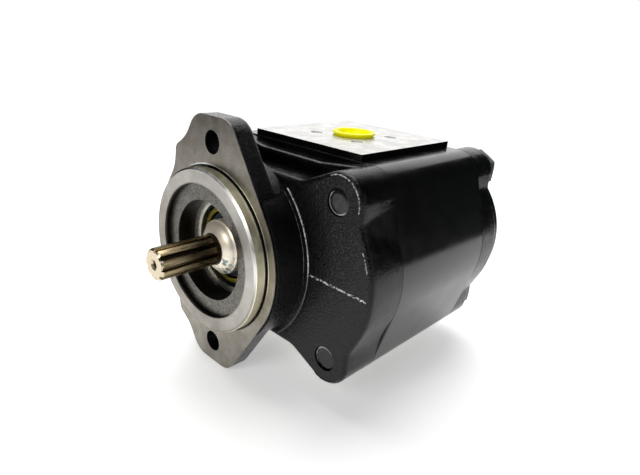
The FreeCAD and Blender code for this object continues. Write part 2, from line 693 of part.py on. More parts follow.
def make_rear_cover():
    plate_waist = EAR_UP + EAR_R - PLATE_DROP
    plate = belt_slab("rear_plate_body", HOUSING_BACK, REAR_PLATE, case_outline(SCOOP_R, plate_waist))
    dress_edges(plate, "Fillet", "rear_plate_round", EARS_BACK, CAST_ROUND)
    boss = belt_slab(
        "rear_boss_body",
        HOUSING_BACK + OVERRUN,
        REAR_PLATE + REAR_BOSS - OVERRUN,
        gear_pair_outline(CASE_R - REAR_BOSS_STEP),
    )
    dress_edges(boss, "Fillet", "rear_boss_round", EARS_BACK + REAR_BOSS, BOSS_ROUND)
    solid = fused("rear_solid", plate, boss)
    groove = face_seal_slab(
        "rear_groove", HOUSING_BACK - OVERRUN, FACE_SEAL_DEPTH + OVERRUN, -SEATING_GAP
    )
    start, length = HOUSING_BACK - OVERRUN, REAR_PLATE + OVERRUN * 2
    holes = [
        groove,
        *bolt_holes("rear_bolt_hole", BOLT_R + BOLT_GAP, start, length),
        *bolt_holes("spot_face", WASHER_R + SPOT_GAP, EARS_BACK, REAR_BOSS + OVERRUN),
        *dowel_rods("rear_dowel_hole", DOWEL_R, start, DOWEL_REACH + DOWEL_END_GAP + OVERRUN),
    ]
    return finish_piece(cut("rear", solid, *holes), "rear_cover")


# ---- Gears and shafts ---------------------------------------------------------------------------------


def involute_point(base, radius, turn, hand):
    """A point of an involute of this base circle, turned by an angle and mirrored by its hand."""
    roll = math.sqrt(max((radius / base) ** 2 - 1, 0))
    angle = hand * (roll - math.atan(roll)) + turn
    return Vector(radius * math.cos(angle), 0, radius * math.sin(angle))


def gear_shape(first_angle):
    """A spur gear across the origin, from y = 0 to its width, with a tooth at first_angle."""
    teeth = int(GEAR_TEETH.value)
    module = GEAR_MODULE.value
    pressure = math.radians(GEAR_PRESSURE.value)
    pitch = module * teeth / 2
    base = pitch * math.cos(pressure)
    root = pitch - ROOT_DEPTH * module
    half_tooth = math.pi / (2 * teeth) - TOOTH_THINNING.value / (2 * pitch)
    flank_start = half_tooth + math.tan(pressure) - pressure
    edges = []
    for i in range(teeth):
        middle = first_angle + 2 * math.pi * i / teeth
        radii = [base + (GEAR_R.value - base) * k / FLANK_STEPS for k in range(FLANK_STEPS + 1)]
        rising = [involute_point(base, r, middle - flank_start, 1) for r in radii]
        falling = [involute_point(base, r, middle + flank_start, -1) for r in reversed(radii)]
        start, end = middle - flank_start, middle + flank_start
        root_in = Vector(root * math.cos(start), 0, root * math.sin(start))
        root_out = Vector(root * math.cos(end), 0, root * math.sin(end))
        gap = middle + math.pi / teeth
        gap_middle = Vector(root * math.cos(gap), 0, root * math.sin(gap))
        following = middle + 2 * math.pi / teeth - flank_start
        next_root = Vector(root * math.cos(following), 0, root * math.sin(following))
        tip = Vector(GEAR_R.value * math.cos(middle), 0, GEAR_R.value * math.sin(middle))
        edges.append(Part.LineSegment(root_in, rising[0]).toShape())
        edges.append(flank_edge(rising))
        edges.append(Part.Arc(rising[-1], tip, falling[0]).toShape())
        edges.append(flank_edge(falling))
        edges.append(Part.LineSegment(falling[-1], root_out).toShape())
        edges.append(Part.Arc(root_out, gap_middle, next_root).toShape())
    face = Part.Face(Part.Wire(Part.__sortEdges__(edges)))
    return face.extrude(Vector(0, GEAR_WIDTH.value, 0))


def flank_edge(points):
    curve = Part.BSplineCurve()
    curve.interpolate(points)
    return curve.toShape()


def gear(name, first_angle, x):
    """Teeth are swept curves, so the gear is one shape made from the sheet's values."""
    item = doc.addObject("Part::Feature", name)
    item.Shape = gear_shape(first_angle)
    return place(item, x, GEAR_FRONT)


def splined_end():
    """The end of the shaft: a spline with a chamfered end, and a plain collar behind it."""
    body = new_body("spline")
    sketch = new_sketch(body, "spline_outline", "XZ_Plane", SHAFT_REACH)
    circle = Part.Circle(Vector(), Vector(0, 0, 1), SPLINE_R.value)
    number = sketch.addGeometry(circle, False)
    fix_point(sketch, number, 3, 0, 0)
    radius = sketch.addConstraint(Sketcher.Constraint("Radius", number, SPLINE_R.value))
    bind(sketch, f"Constraints[{radius}]", SPLINE_R)
    pad_along_y(body, sketch, "spline_pad", SHAFT_REACH)
    dress_edges(body, "Chamfer", "spline_lead", -SHAFT_REACH, SPLINE_CHAMFER)
    groove = new_sketch(body, "spline_groove", "XZ_Plane", SHAFT_REACH)
    top, bottom = SPLINE_R + OVERRUN, SPLINE_R - SPLINE_DEPTH
    slope = (SPLINE_TOP - SPLINE_ROOT) / (SPLINE_DEPTH * 2)
    wide = SPLINE_TOP / 2 + slope * OVERRUN
    narrow = SPLINE_ROOT / 2
    draw_polygon(groove, [(top, -wide), (top, wide), (bottom, narrow), (bottom, -narrow)])
    pocket = body.newObject("PartDesign::Pocket", "spline_pocket")
    pocket.Profile = groove
    bind(pocket, "Length", SHAFT_REACH - SPLINE_COLLAR)
    doc.recompute()
    pattern = body.newObject("PartDesign::PolarPattern", "spline_pattern")
    pattern.Originals = [pocket]
    pattern.Axis = (sketch, ["N_Axis"])
    pattern.Angle = 360
    bind(pattern, "Occurrences", SPLINE_TEETH)
    body.Tip = pattern
    return body


def make_drive_gear_shaft():
    cone = doc.addObject("Part::Cone", "seal_cone")
    bind(cone, "Radius1", SPLINE_R + CONE_STEP)
    bind(cone, "Radius2", JOURNAL_R)
    bind(cone, "Height", CONE_LENGTH)
    cone.Placement = FreeCAD.Placement(Vector(), ALONG_Y)
    front = rod("drive_front_journal", JOURNAL_R, CONE_LENGTH, GEAR_FRONT - CONE_LENGTH)
    rear_length = HOUSING_BACK - JOURNAL_END_GAP - GEAR_BACK
    rear = rod("drive_rear_journal", JOURNAL_R, GEAR_BACK, rear_length)
    solid = fused("drive_solid", gear("drive_teeth", 0, ZERO), cone, front, rear, splined_end())
    centre = turned(
        "shaft_centre",
        [
            (ZERO, -SHAFT_REACH - OVERRUN),
            (CENTRE_R + CENTRE_SINK, -SHAFT_REACH - OVERRUN),
            (CENTRE_R + CENTRE_SINK, -SHAFT_REACH),
            (CENTRE_R, CENTRE_SINK_DEPTH - SHAFT_REACH),
            (CENTRE_R, CENTRE_DEPTH - SHAFT_REACH),
            (ZERO, CENTRE_DEPTH + CENTRE_R - SHAFT_REACH),
        ],
    )
    return finish_piece(cut("drive", solid, centre), "drive_gear_shaft")


def make_driven_gear_shaft():
    start = HOUSING_FRONT + JOURNAL_END_GAP
    length = HOUSING_LENGTH - JOURNAL_END_GAP * 2
    journals = rod("driven_journals", JOURNAL_R, start, length, GEAR_CENTRES)
    half_pitch = math.pi / GEAR_TEETH.value
    teeth = gear("driven_teeth", math.pi + half_pitch, GEAR_CENTRES)
    return finish_piece(fused("driven", teeth, journals), "driven_gear_shaft")


# ---- Bearing blocks, bushes and block seals -------------------------------------------------------------


def make_bearing_block(name, start, seal_start, groove_start):
    """A bearing block, its two bushes, and the seal and backup in its outer face."""
    outside = figure_eight(f"{name}_outside", BORE_R - SEATING_GAP, start, BLOCK_LENGTH)
    bores = figure_eight(f"{name}_bores", BUSH_R, start - OVERRUN, BLOCK_LENGTH + OVERRUN * 2)
    inner = BUSH_R + LOBE_SEAL_IN
    middle = inner + LOBE_BACKUP_WIDTH
    outer = GEAR_CENTRES / 2 + LOBE_SEAL_JOIN
    groove = figure_eight_ring(
        f"{name}_groove", inner, outer + SEATING_GAP, groove_start, LOBE_SEAL_DEPTH + OVERRUN
    )
    finish_piece(cut(f"{name}_cut", outside, bores, groove), f"{name}_bearing_block")
    for x, shaft in ((ZERO, "drive"), (GEAR_CENTRES, "driven")):
        bush = cut(
            f"{name}_{shaft}_tube",
            rod(f"{name}_{shaft}_outside", BUSH_R, start, BLOCK_LENGTH, x),
            rod(
                f"{name}_{shaft}_inside",
                JOURNAL_R + RUNNING_GAP,
                start - OVERRUN,
                BLOCK_LENGTH + OVERRUN * 2,
                x,
            ),
        )
        finish_piece(bush, f"{name}_{shaft}_bush")
    backup = figure_eight_ring(f"{name}_backup", inner, middle, seal_start, LOBE_SEAL_DEPTH)
    finish_piece(backup, f"{name}_seal_backup")
    seal = figure_eight_ring(f"{name}_seal", middle, outer, seal_start, LOBE_SEAL_DEPTH)
    finish_piece(seal, f"{name}_block_seal")


# ---- Shaft seal ---------------------------------------------------------------------------------------


def make_shaft_seal():
    back = SEAL_FRONT + SEAL_LENGTH
    inside = JOURNAL_R + LIP_WALL + SPRING_WIRE * 2
    case = turned(
        "seal_case_turn",
        [
            (SEAT_R - SEAL_RIM, SEAL_FRONT),
            (SEAT_R, SEAL_FRONT),
            (SEAT_R, back),
            (inside, back),
            (inside, back - SEAL_WALL),
            (SEAT_R - SEAL_WALL, back - SEAL_WALL),
            (SEAT_R - SEAL_WALL, SEAL_FRONT + SEAL_WALL),
            (SEAT_R - SEAL_RIM, SEAL_FRONT + SEAL_WALL),
        ],
    )
    finish_piece(case, "shaft_seal_case")
    lip_top = JOURNAL_R + RUNNING_GAP
    lip = turned(
        "seal_lip_turn",
        [
            (lip_top, SEAL_FRONT + SEAL_WALL),
            (lip_top + LIP_WALL, SEAL_FRONT + SEAL_WALL),
            (lip_top + LIP_WALL, back - SEAL_WALL - LIP_WALL),
            (SEAT_R - SEAL_WALL, back - SEAL_WALL - LIP_WALL),
            (SEAT_R - SEAL_WALL, back - SEAL_WALL),
            (lip_top, back - SEAL_WALL),
        ],
    )
    finish_piece(lip, "shaft_seal_lip")
    spring = doc.addObject("Part::Torus", "garter_spring")
    bind(spring, "Radius1", lip_top + LIP_WALL + SPRING_WIRE)
    bind(spring, "Radius2", SPRING_WIRE)
    spring.Placement = FreeCAD.Placement(Vector(), ALONG_Y)
    place(spring, y=SEAL_FRONT + SEAL_WALL + SPRING_WIRE * 2)
    finish_piece(spring, "shaft_seal_spring")
    support_inner = lip_top + LIP_WALL + SPRING_WIRE * 2 + SUPPORT_GAP
    support_start, support_end = SEAL_FRONT + SEAL_WALL, back - SEAL_WALL - LIP_WALL
    support = turned(
        "support_turn",
        tube_points(support_inner, support_inner + SUPPORT_WALL, support_start, support_end),
    )
    finish_piece(support, "seal_support_ring")
    outer = SEAT_R + RING_BITE
    ring = turned(
        "retaining_turn",
        tube_points(SEAT_R - RING_DEPTH, outer, RING_FRONT, RING_FRONT + RING_THICK),
    )
    mouth = block(
        "retaining_mouth",
        (RING_MOUTH / -2, RING_FRONT - OVERRUN, -outer - OVERRUN),
        (RING_MOUTH / 2, RING_FRONT + RING_THICK + OVERRUN, ZERO),
    )
    finish_piece(cut("retaining_cut", ring, mouth), "retaining_ring")


# ---- Face seals, dowels, bolts and plugs ----------------------------------------------------------------


def make_face_seals():
    front = face_seal_slab("front_face_seal", COVER_LENGTH - FACE_SEAL_DEPTH, FACE_SEAL_DEPTH)
    finish_piece(front, "front_housing_seal")
    rear = face_seal_slab("rear_face_seal", HOUSING_BACK, FACE_SEAL_DEPTH)
    finish_piece(rear, "rear_housing_seal")


def make_dowels():
    for name, seam in (("front", HOUSING_FRONT), ("rear", HOUSING_BACK)):
        rods = dowel_rods(f"{name}_dowel", DOWEL_R, seam - DOWEL_REACH, DOWEL_REACH * 2)
        finish_piece(group(f"{name}_dowel_pair", rods), f"{name}_dowels")


def make_bolts():
    head_start = EARS_BACK + WASHER_THICK
    shank_start = NECK_LENGTH + BOLT_SINK
    shanks = bolt_holes("bolt_shank", BOLT_R, shank_start, head_start - shank_start)
    bolts = []
    for i, (shank, (x, z)) in enumerate(zip(shanks, BOLT_PLACES)):
        prism = doc.addObject("Part::Prism", f"bolt_head_{i}")
        prism.Polygon = 6
        bind(prism, "Circumradius", BOLT_FLATS / math.sqrt(3))
        bind(prism, "Height", BOLT_HEAD)
        prism.Placement = FreeCAD.Placement(Vector(), ALONG_Y)
        place(prism, x, head_start, z)
        bolts.append(fused(f"bolt_{i}", shank, prism))
    finish_piece(group("bolt_set", bolts), "case_bolts")
    washers = [
        place(
            turned(
                f"washer_{i}",
                tube_points(BOLT_R + BOLT_THREAD_GAP, WASHER_R, EARS_BACK, head_start),
            ),
            x,
            ZERO,
            z,
        )
        for i, (x, z) in enumerate(BOLT_PLACES)
    ]
    finish_piece(group("washer_set", washers), "bolt_washers")


def make_port_plug(name, side):
    """A dished plastic plug with a rim that lies on the pad, in the top or bottom port."""
    skirt = PORT_R - PLUG_GAP
    inside = skirt - PLUG_WALL
    rim_top = PAD_TOP + PLUG_RIM_THICK
    floor = rim_top - PLUG_DISH
    points = [
        (ZERO, floor),
        (inside, floor),
        (inside, rim_top),
        (PLUG_RIM_R, rim_top),
        (PLUG_RIM_R, PAD_TOP),
        (skirt, PAD_TOP),
        (skirt, PAD_TOP - PLUG_LENGTH),
        (inside, PAD_TOP - PLUG_LENGTH),
        (inside, floor - PLUG_WALL),
        (ZERO, floor - PLUG_WALL),
    ]
    outline = [(radius, height * side) for radius, height in points]
    plug = turned(f"{name}_turn", outline, "Z", (MIDDLE_X, HOUSING_MIDDLE, ZERO))
    finish_piece(plug, name)


# ---- The pump -----------------------------------------------------------------------------------------


def make_pump():
    make_shaft_end_cover()
    make_gear_housing()
    make_rear_cover()
    make_drive_gear_shaft()
    make_driven_gear_shaft()
    make_bearing_block("front", HOUSING_FRONT, HOUSING_FRONT, HOUSING_FRONT - OVERRUN)
    rear_start = HOUSING_BACK - BLOCK_LENGTH
    rear_seal = HOUSING_BACK - LOBE_SEAL_DEPTH
    make_bearing_block("rear", rear_start, rear_seal, rear_seal)
    make_shaft_seal()
    make_face_seals()
    make_dowels()
    make_bolts()
    make_port_plug("top_port_plug", 1)
    make_port_plug("bottom_port_plug", -1)


def check_document():
    """Stops before anything is written if a feature failed or a piece is empty or broken."""
    for item in doc.Objects:
        if "Invalid" in item.State or "Error" in item.State:
            raise RuntimeError(f"{item.Name} failed: {item.State}")
    for piece in PIECES:
        if piece.Shape.isNull() or not piece.Shape.isValid() or not piece.Shape.Solids:
            raise RuntimeError(f"{piece.Label} has no valid solid")


def write_pieces():
    os.makedirs("parts", exist_ok=True)
    for piece in PIECES:
        piece.Shape.exportStep(os.path.join("parts", f"{piece.Label}.step"))
        print(f"{piece.Label:22s} {len(piece.Shape.Solids)} solids, {piece.Shape.Volume:10.1f} mm3")


make_pump()
doc.recompute()
check_document()
write_pieces()
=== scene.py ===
"""The looks of an external gear pump: a bare machined flange, black castings and yellow dust plugs."""

import json
import math

import bmesh
import bpy
from mathutils import Matrix, Vector

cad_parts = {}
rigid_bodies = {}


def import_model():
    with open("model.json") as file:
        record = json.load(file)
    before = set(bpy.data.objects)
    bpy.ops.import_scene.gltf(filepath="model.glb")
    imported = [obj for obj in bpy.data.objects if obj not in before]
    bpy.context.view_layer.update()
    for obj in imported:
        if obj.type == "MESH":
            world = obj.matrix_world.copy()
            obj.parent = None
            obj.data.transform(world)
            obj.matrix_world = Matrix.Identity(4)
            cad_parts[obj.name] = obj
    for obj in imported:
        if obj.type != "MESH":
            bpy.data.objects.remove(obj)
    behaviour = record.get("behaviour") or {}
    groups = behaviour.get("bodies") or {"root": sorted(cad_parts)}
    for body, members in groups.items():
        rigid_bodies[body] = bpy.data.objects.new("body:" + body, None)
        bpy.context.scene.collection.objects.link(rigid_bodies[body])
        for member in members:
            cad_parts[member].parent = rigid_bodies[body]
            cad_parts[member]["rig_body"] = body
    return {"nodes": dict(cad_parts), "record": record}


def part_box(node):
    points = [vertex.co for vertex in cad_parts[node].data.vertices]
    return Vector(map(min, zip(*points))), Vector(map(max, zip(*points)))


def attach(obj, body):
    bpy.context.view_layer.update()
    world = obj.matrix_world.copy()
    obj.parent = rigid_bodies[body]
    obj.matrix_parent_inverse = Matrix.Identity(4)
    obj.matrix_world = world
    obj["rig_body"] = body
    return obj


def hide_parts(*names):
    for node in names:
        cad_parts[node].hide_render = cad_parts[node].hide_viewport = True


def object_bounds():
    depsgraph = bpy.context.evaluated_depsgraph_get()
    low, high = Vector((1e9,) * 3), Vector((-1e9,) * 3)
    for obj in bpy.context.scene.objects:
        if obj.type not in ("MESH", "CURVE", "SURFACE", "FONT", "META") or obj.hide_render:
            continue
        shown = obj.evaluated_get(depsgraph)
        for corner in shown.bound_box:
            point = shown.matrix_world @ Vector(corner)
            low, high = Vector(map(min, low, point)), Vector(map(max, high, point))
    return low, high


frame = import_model()
cad_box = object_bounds()

MM = 0.001
DEG = math.pi / 180


# ---- Sizes that the boxes don't give ------------------------------------------------------------------

PILOT_RADIUS = 41.275 * MM
SEAT_RADIUS = 25.4 * MM
BOLT_RADIUS = 6 * MM
HEAD_FLATS = 19 * MM
WASHER_RADIUS = 11.8 * MM
CONE_START_RADIUS = 8 * MM
JOURNAL_RADIUS = 14 * MM
CONE_LENGTH = 4.5 * MM
CONE_SWELL = 0.55 * MM
PORT_BOLT_PLACE = 20 * MM * math.sqrt(0.5)
PORT_BOLT_RADIUS = 3.4 * MM
PORT_BOLT_DEPTH = 16 * MM

# Where one finish, painted shade or painted highlight gives way to the next on the front cover: distances
# from the shaft's axis ...
RECESS_RADIUS = 34 * MM
BARE_BORE_RADIUS = 30 * MM
FOOT_HIGHLIGHT_RADIUS = PILOT_RADIUS + 1.25 * MM

# ... and places along it.
RECESS_WALL_FROM = -5.4 * MM
PILOT_FACE_TO = -5.0 * MM
RECESS_FLOOR_FROM = -4.4 * MM
SEAT_FROM = -3.1 * MM
EAR_GRAIN_FROM, SIDE_GRAIN_FROM = 18.5 * MM, 20.5 * MM
BARE_BORE_TO = 25 * MM

# ---- Places read from the frame -----------------------------------------------------------------------

HOUSING_LOW, HOUSING_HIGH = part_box("gear_housing")
SHAFT_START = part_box("drive_gear_shaft")[0].y
WASHER_LOW, WASHER_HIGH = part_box("bolt_washers")
BOLT_LOW, BOLT_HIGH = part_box("case_bolts")
MIDDLE_X = (HOUSING_LOW.x + HOUSING_HIGH.x) / 2
GEAR_X = 2 * MIDDLE_X
PORT_Y = (HOUSING_LOW.y + HOUSING_HIGH.y) / 2
PAD_TOP = HOUSING_HIGH.z
EAR_FRONT = BOLT_LOW.y - 0.5 * MM
BOLT_X = (WASHER_LOW.x + WASHER_RADIUS, WASHER_HIGH.x - WASHER_RADIUS)
BOLT_Z = (WASHER_LOW.z + WASHER_RADIUS, WASHER_HIGH.z - WASHER_RADIUS)

# ---- Camera, floor and lights -------------------------------------------------------------------------

CAMERA_PLACE = Vector((193.35, -134.21, 99.58)) * MM
CAMERA_AIM = Vector((20.77, 55.73, 0.06)) * MM
CAMERA_ROLL = 4.513 * DEG
CAMERA_LENS = 28.28
SENSOR = 36
FLOOR_RADIUS = 0.62


def add_object(name, data):
    """Puts a mesh, lamp or camera into the scene."""
    item = bpy.data.objects.new(name, data)
    bpy.context.scene.collection.objects.link(item)
    return item


def make_camera():
    """The view from in front of the flange, above and towards the driven gear's side."""
    lens = bpy.data.cameras.new("view")
    lens.sensor_width = SENSOR
    lens.lens = CAMERA_LENS
    lens.clip_start, lens.clip_end = 0.01, 50
    camera = add_object("view", lens)
    camera.location = CAMERA_PLACE
    look = (CAMERA_AIM - CAMERA_PLACE).to_track_quat("-Z", "Y").to_matrix()
    camera.rotation_euler = (look @ Matrix.Rotation(CAMERA_ROLL, 3, "Z")).to_euler()
    bpy.context.scene.camera = camera


def soft_light(name, place, aim, size, power):
    """A rectangular lamp that faces the point it's aimed at."""
    lamp = bpy.data.lights.new(name, "AREA")
    lamp.shape = "RECTANGLE"
    lamp.size, lamp.size_y = size
    lamp.energy = power
    item = add_object(name, lamp)
    item.location = place
    item.rotation_euler = (Vector(aim) - Vector(place)).to_track_quat("-Z", "Y").to_euler()


def sky_light(name, towards, spread, strength):
    """Even light from one wide part of the sky, which reaches the whole floor alike."""
    lamp = bpy.data.lights.new(name, "SUN")
    lamp.angle = spread
    lamp.energy = strength
    item = add_object(name, lamp)
    item.rotation_euler = Vector(towards).to_track_quat("Z", "Y").to_euler()


def make_studio():
    """A white surround that only the camera sees, three soft lights and one wide sky light."""
    bpy.context.scene.view_settings.view_transform = "Standard"
    world = bpy.data.worlds.new("studio")
    bpy.context.scene.world = world
    world.use_nodes = True
    nodes, links = world.node_tree.nodes, world.node_tree.links
    seen = nodes.new("ShaderNodeBackground")
    seen.inputs["Color"].default_value = (1, 1, 1, 1)
    dark = nodes["Background"]
    dark.inputs["Color"].default_value = (0.85, 0.92, 1, 1)
    dark.inputs["Strength"].default_value = 0.03
    path = nodes.new("ShaderNodeLightPath")
    mix = nodes.new("ShaderNodeMixShader")
    links.new(path.outputs["Is Camera Ray"], mix.inputs["Fac"])
    links.new(dark.outputs[0], mix.inputs[1])
    links.new(seen.outputs[0], mix.inputs[2])
    links.new(mix.outputs[0], nodes["World Output"].inputs["Surface"])
    soft_light("back_left", (-0.65, 1.05, 0.50), aim=(0, 0.05, 0.02), size=(1.5, 0.9), power=6.0)
    soft_light("front_high", (0.15, -1.1, 0.62), aim=(0, 0, 0), size=(0.6, 0.6), power=6.0)
    soft_light("right", (0.95, 0.45, 0.22), aim=(0, 0.03, 0), size=(0.45, 0.3), power=0.45)
    sky_light("overhead", towards=(-0.35, 0.25, 1.0), spread=55 * DEG, strength=2.5)


def make_floor():
    """A round floor just under the lowest piece, for the pictures only."""
    shape = bmesh.new()
    bmesh.ops.create_circle(shape, cap_ends=True, segments=96, radius=FLOOR_RADIUS)
    floor_gap = 0.2 * MM
    bmesh.ops.translate(shape, verts=shape.verts, vec=(0, 0, cad_box[0].z - floor_gap))
    mesh = bpy.data.meshes.new("floor")
    shape.to_mesh(mesh)
    shape.free()
    floor = add_object("floor", mesh)
    floor.data.materials.append(pale_floor())


# ---- Material tools -----------------------------------------------------------------------------------


class Finish:
    """A material being mixed from patterns that are fixed to the object, with sizes in millimetres."""

    def __init__(self, name, colour, metallic, roughness):
        self.material = bpy.data.materials.new(name)
        self.material.use_nodes = True
        self.nodes = self.material.node_tree.nodes
        self.links = self.material.node_tree.links
        self.shader = self.nodes["Principled BSDF"]
        self.shader.inputs["Base Color"].default_value = (*colour, 1)
        self.shader.inputs["Metallic"].default_value = metallic
        self.shader.inputs["Roughness"].default_value = roughness
        self.place = self.nodes.new("ShaderNodeTexCoord").outputs["Object"]
        self.split = None

    def axis(self, letter):
        """One coordinate, in metres."""
        if self.split is None:
            self.split = self.nodes.new("ShaderNodeSeparateXYZ")
            self.links.new(self.place, self.split.inputs[0])
        return self.split.outputs[letter]

    def math(self, kind, *values, clamp=False):
        """One step of arithmetic on numbers or patterns."""
        node = self.nodes.new("ShaderNodeMath")
        node.operation = kind
        node.use_clamp = clamp
        for socket, value in zip(node.inputs, values):
            self.feed(socket, value)
        return node.outputs[0]

    def feed(self, socket, value):
        """Gives a socket a number or colour, or joins a pattern to it."""
        if isinstance(value, bpy.types.NodeSocket):
            self.links.new(value, socket)
        else:
            socket.default_value = value

    def stretched(self, scale, turn=(0, 0, 0)):
        """The place on the object, squeezed and turned, so that a pattern is drawn out along one way."""
        mapping = self.nodes.new("ShaderNodeMapping")
        mapping.inputs["Scale"].default_value = scale
        mapping.inputs["Rotation"].default_value = turn
        self.links.new(self.place, mapping.inputs["Vector"])
        return mapping.outputs[0]

    def noise(self, grain_mm, detail=2.0, rough=0.5, place=None):
        """A cloudy pattern between 0 and 1."""
        node = self.nodes.new("ShaderNodeTexNoise")
        node.inputs["Scale"].default_value = 1 / (grain_mm * MM)
        node.inputs["Detail"].default_value = detail
        node.inputs["Roughness"].default_value = rough
        self.links.new(place or self.place, node.inputs["Vector"])
        return node.outputs["Fac"]

    def rings(self, distance, grain_mm):
        """Turning marks: a pattern that changes only with one distance, from the axis or along it."""
        node = self.nodes.new("ShaderNodeTexNoise")
        node.noise_dimensions = "1D"
        node.inputs["Scale"].default_value = 1 / (grain_mm * MM)
        node.inputs["Detail"].default_value = 3
        self.links.new(distance, node.inputs["W"])
        return node.outputs["Fac"]

    def cells(self, size_mm):
        """How far each place is from the nearest of many scattered points."""
        node = self.nodes.new("ShaderNodeTexVoronoi")
        node.inputs["Scale"].default_value = 1 / (size_mm * MM)
        self.links.new(self.place, node.inputs["Vector"])
        return node.outputs["Distance"]

    def step(self, value, low, high, out_low=0.0, out_high=1.0):
        """Runs from out_low to out_high as value goes from low to high."""
        node = self.nodes.new("ShaderNodeMapRange")
        node.interpolation_type = "SMOOTHSTEP"
        self.feed(node.inputs["Value"], value)
        for name, number in zip(
            ("From Min", "From Max", "To Min", "To Max"), (low, high, out_low, out_high)
        ):
            self.feed(node.inputs[name], number)
        return node.outputs["Result"]

    def blend(self, share, first, second, kind="MIX"):
        """A colour that goes from first to second."""
        node = self.nodes.new("ShaderNodeMix")
        node.data_type = "RGBA"
        node.blend_type = kind
        self.feed(node.inputs["Factor"], share)
        sockets = [s for s in node.inputs if s.type == "RGBA"]
        for socket, colour in zip(sockets, (first, second)):
            self.feed(socket, (*colour, 1) if isinstance(colour, tuple) else colour)
        return [s for s in node.outputs if s.type == "RGBA"][0]

    def mixed(self, share, first, second):
        """A number that goes from first to second."""
        node = self.nodes.new("ShaderNodeMix")
        node.data_type = "FLOAT"
        self.feed(node.inputs["Factor"], share)
        self.feed(node.inputs["A"], first)
        self.feed(node.inputs["B"], second)
        return node.outputs["Result"]

    def mixed_bumps(self, share, first, second):
        """A surface that goes from the first bumps to the second."""
        node = self.nodes.new("ShaderNodeMix")
        node.data_type = "VECTOR"
        self.feed(node.inputs["Factor"], share)
        sockets = [s for s in node.inputs if s.type == "VECTOR" and s.name in ("A", "B")]
        for socket, bumps in zip(sockets, (first, second)):
            self.links.new(bumps, socket)
        return [s for s in node.outputs if s.type == "VECTOR"][0]

    def product(self, first, *others):
        """All the values multiplied together."""
        for other in others:
            first = self.math("MULTIPLY", first, other)
        return first

    def distance(self, across, along):
        """How far away something is, from how far it is each way."""
        squares = self.math("ADD", self.product(across, across), self.product(along, along))
        return self.math("SQRT", squares)

    def radius(self):
        """Distance from the shaft's axis."""
        return self.distance(self.axis("X"), self.axis("Z"))

    def line_at(self, value, place, core, reach, strength=1.0):
        """A soft line where value equals place: full within core of it, gone beyond reach."""
        gap = self.math("ABSOLUTE", self.math("SUBTRACT", value, place))
        return self.step(gap, core, reach, strength, 0)

    def grey(self, value):
        """A number as a colour."""
        node = self.nodes.new("ShaderNodeCombineColor")
        for socket in node.inputs[:3]:
            self.links.new(value, socket)
        return node.outputs[0]

    def bump(self, height, depth_mm, under=None):
        """Raises the surface by a pattern, over the bumps already under it."""
        node = self.nodes.new("ShaderNodeBump")
        node.inputs["Distance"].default_value = depth_mm * MM
        node.inputs["Strength"].default_value = 1
        self.feed(node.inputs["Height"], height)
        if under is not None:
            self.links.new(under, node.inputs["Normal"])
        return node.outputs["Normal"]

    def set_even(self, name, value):
        """Gives a shader socket one value over the whole piece."""
        self.shader.inputs[name].default_value = value

    def use(self, **sockets):
        """Feeds the shader's sockets and gives the finished material."""
        for name, value in sockets.items():
            title = name.replace("_", " ").title()
            socket = self.shader.inputs[title]
            if isinstance(value, tuple):
                value = (*value, 1)
            self.feed(socket, value)
        return self.material


# ---- Finishes -----------------------------------------------------------------------------------------


def pale_floor():
    """White paper that gives off a little light of its own, so that it stays pale under the pump."""
    finish = Finish("pale_floor", (0.93, 0.93, 0.92), 0, 0.6)
    finish.set_even("Specular IOR Level", 0.2)
    finish.set_even("Emission Color", (1, 1, 1, 1))
    finish.set_even("Emission Strength", 0.42)
    return finish.use(Roughness=finish.step(finish.noise(180), 0.3, 0.7, 0.55, 0.65))


def sand_cast_bump(finish, depth):
    """The skin of a painted sand casting: soft lumps and sand grains, coarser on its front walls."""
    lumps = finish.bump(finish.noise(7.5, 2), 0.16 * depth)
    grains = finish.step(finish.noise(0.9, 3, 0.6), 0.38, 0.70)
    front = finish.step(finish.axis("Y"), SIDE_GRAIN_FROM, EAR_GRAIN_FROM, 0.25, 1.0)
    grained = finish.bump(finish.product(grains, front), 0.11 * depth, under=lumps)
    return finish.bump(finish.noise(0.35, 1), 0.006 * depth, under=grained)


def cast_paint_colour(finish):
    """Near-black paint in faint patches, with specks where a sand grain stands through it."""
    specks = finish.step(finish.noise(0.5, 2, 0.7), 0.67, 0.74)
    patches = finish.step(finish.noise(14, 3), 0.35, 0.7)
    paint = finish.blend(patches, (0.0010, 0.0012, 0.0017), (0.0024, 0.0026, 0.0030))
    return finish.blend(finish.product(specks, 0.35), paint, (0.10, 0.10, 0.10))


def bare_iron_colour(finish, radius):
    """Turned iron on the face and pilot with painted highlights on the pilot, rougher and darker in the
    recess, and painted shade along the recess wall and in the bore.
    """
    iron = turned_iron_colour(finish, radius)
    iron = pilot_painted_highlights(finish, radius, iron)
    iron = pilot_wall_colour(finish, radius, iron)
    along = finish.axis("Y")
    sand = finish.step(finish.noise(0.55, 3, 0.75), 0.38, 0.62)
    rough = finish.blend(sand, (0.045, 0.042, 0.036), (0.20, 0.19, 0.17))
    in_recess = finish.math("LESS_THAN", radius, RECESS_RADIUS)
    behind_face = finish.math("GREATER_THAN", along, RECESS_FLOOR_FROM)
    iron = finish.blend(finish.product(in_recess, behind_face), iron, rough)
    # Painted shade: a near-black line along the foot of the recess wall, standing for the shadow under
    # the pilot's lip.
    corner = finish.line_at(radius, RECESS_RADIUS, 0.3 * MM, 0.75 * MM, 0.93)
    within_pilot = finish.math("GREATER_THAN", along, RECESS_WALL_FROM)
    iron = finish.blend(finish.product(corner, within_pilot), iron, (0.012, 0.011, 0.010))
    # Painted shade: the seal seat's bore is drawn near-black for the shade inside it.
    in_seat = finish.math("LESS_THAN", radius, SEAT_RADIUS + 0.15 * MM)
    behind_floor = finish.math("GREATER_THAN", along, SEAT_FROM)
    return finish.blend(finish.product(in_seat, behind_floor), iron, (0.018, 0.017, 0.015))


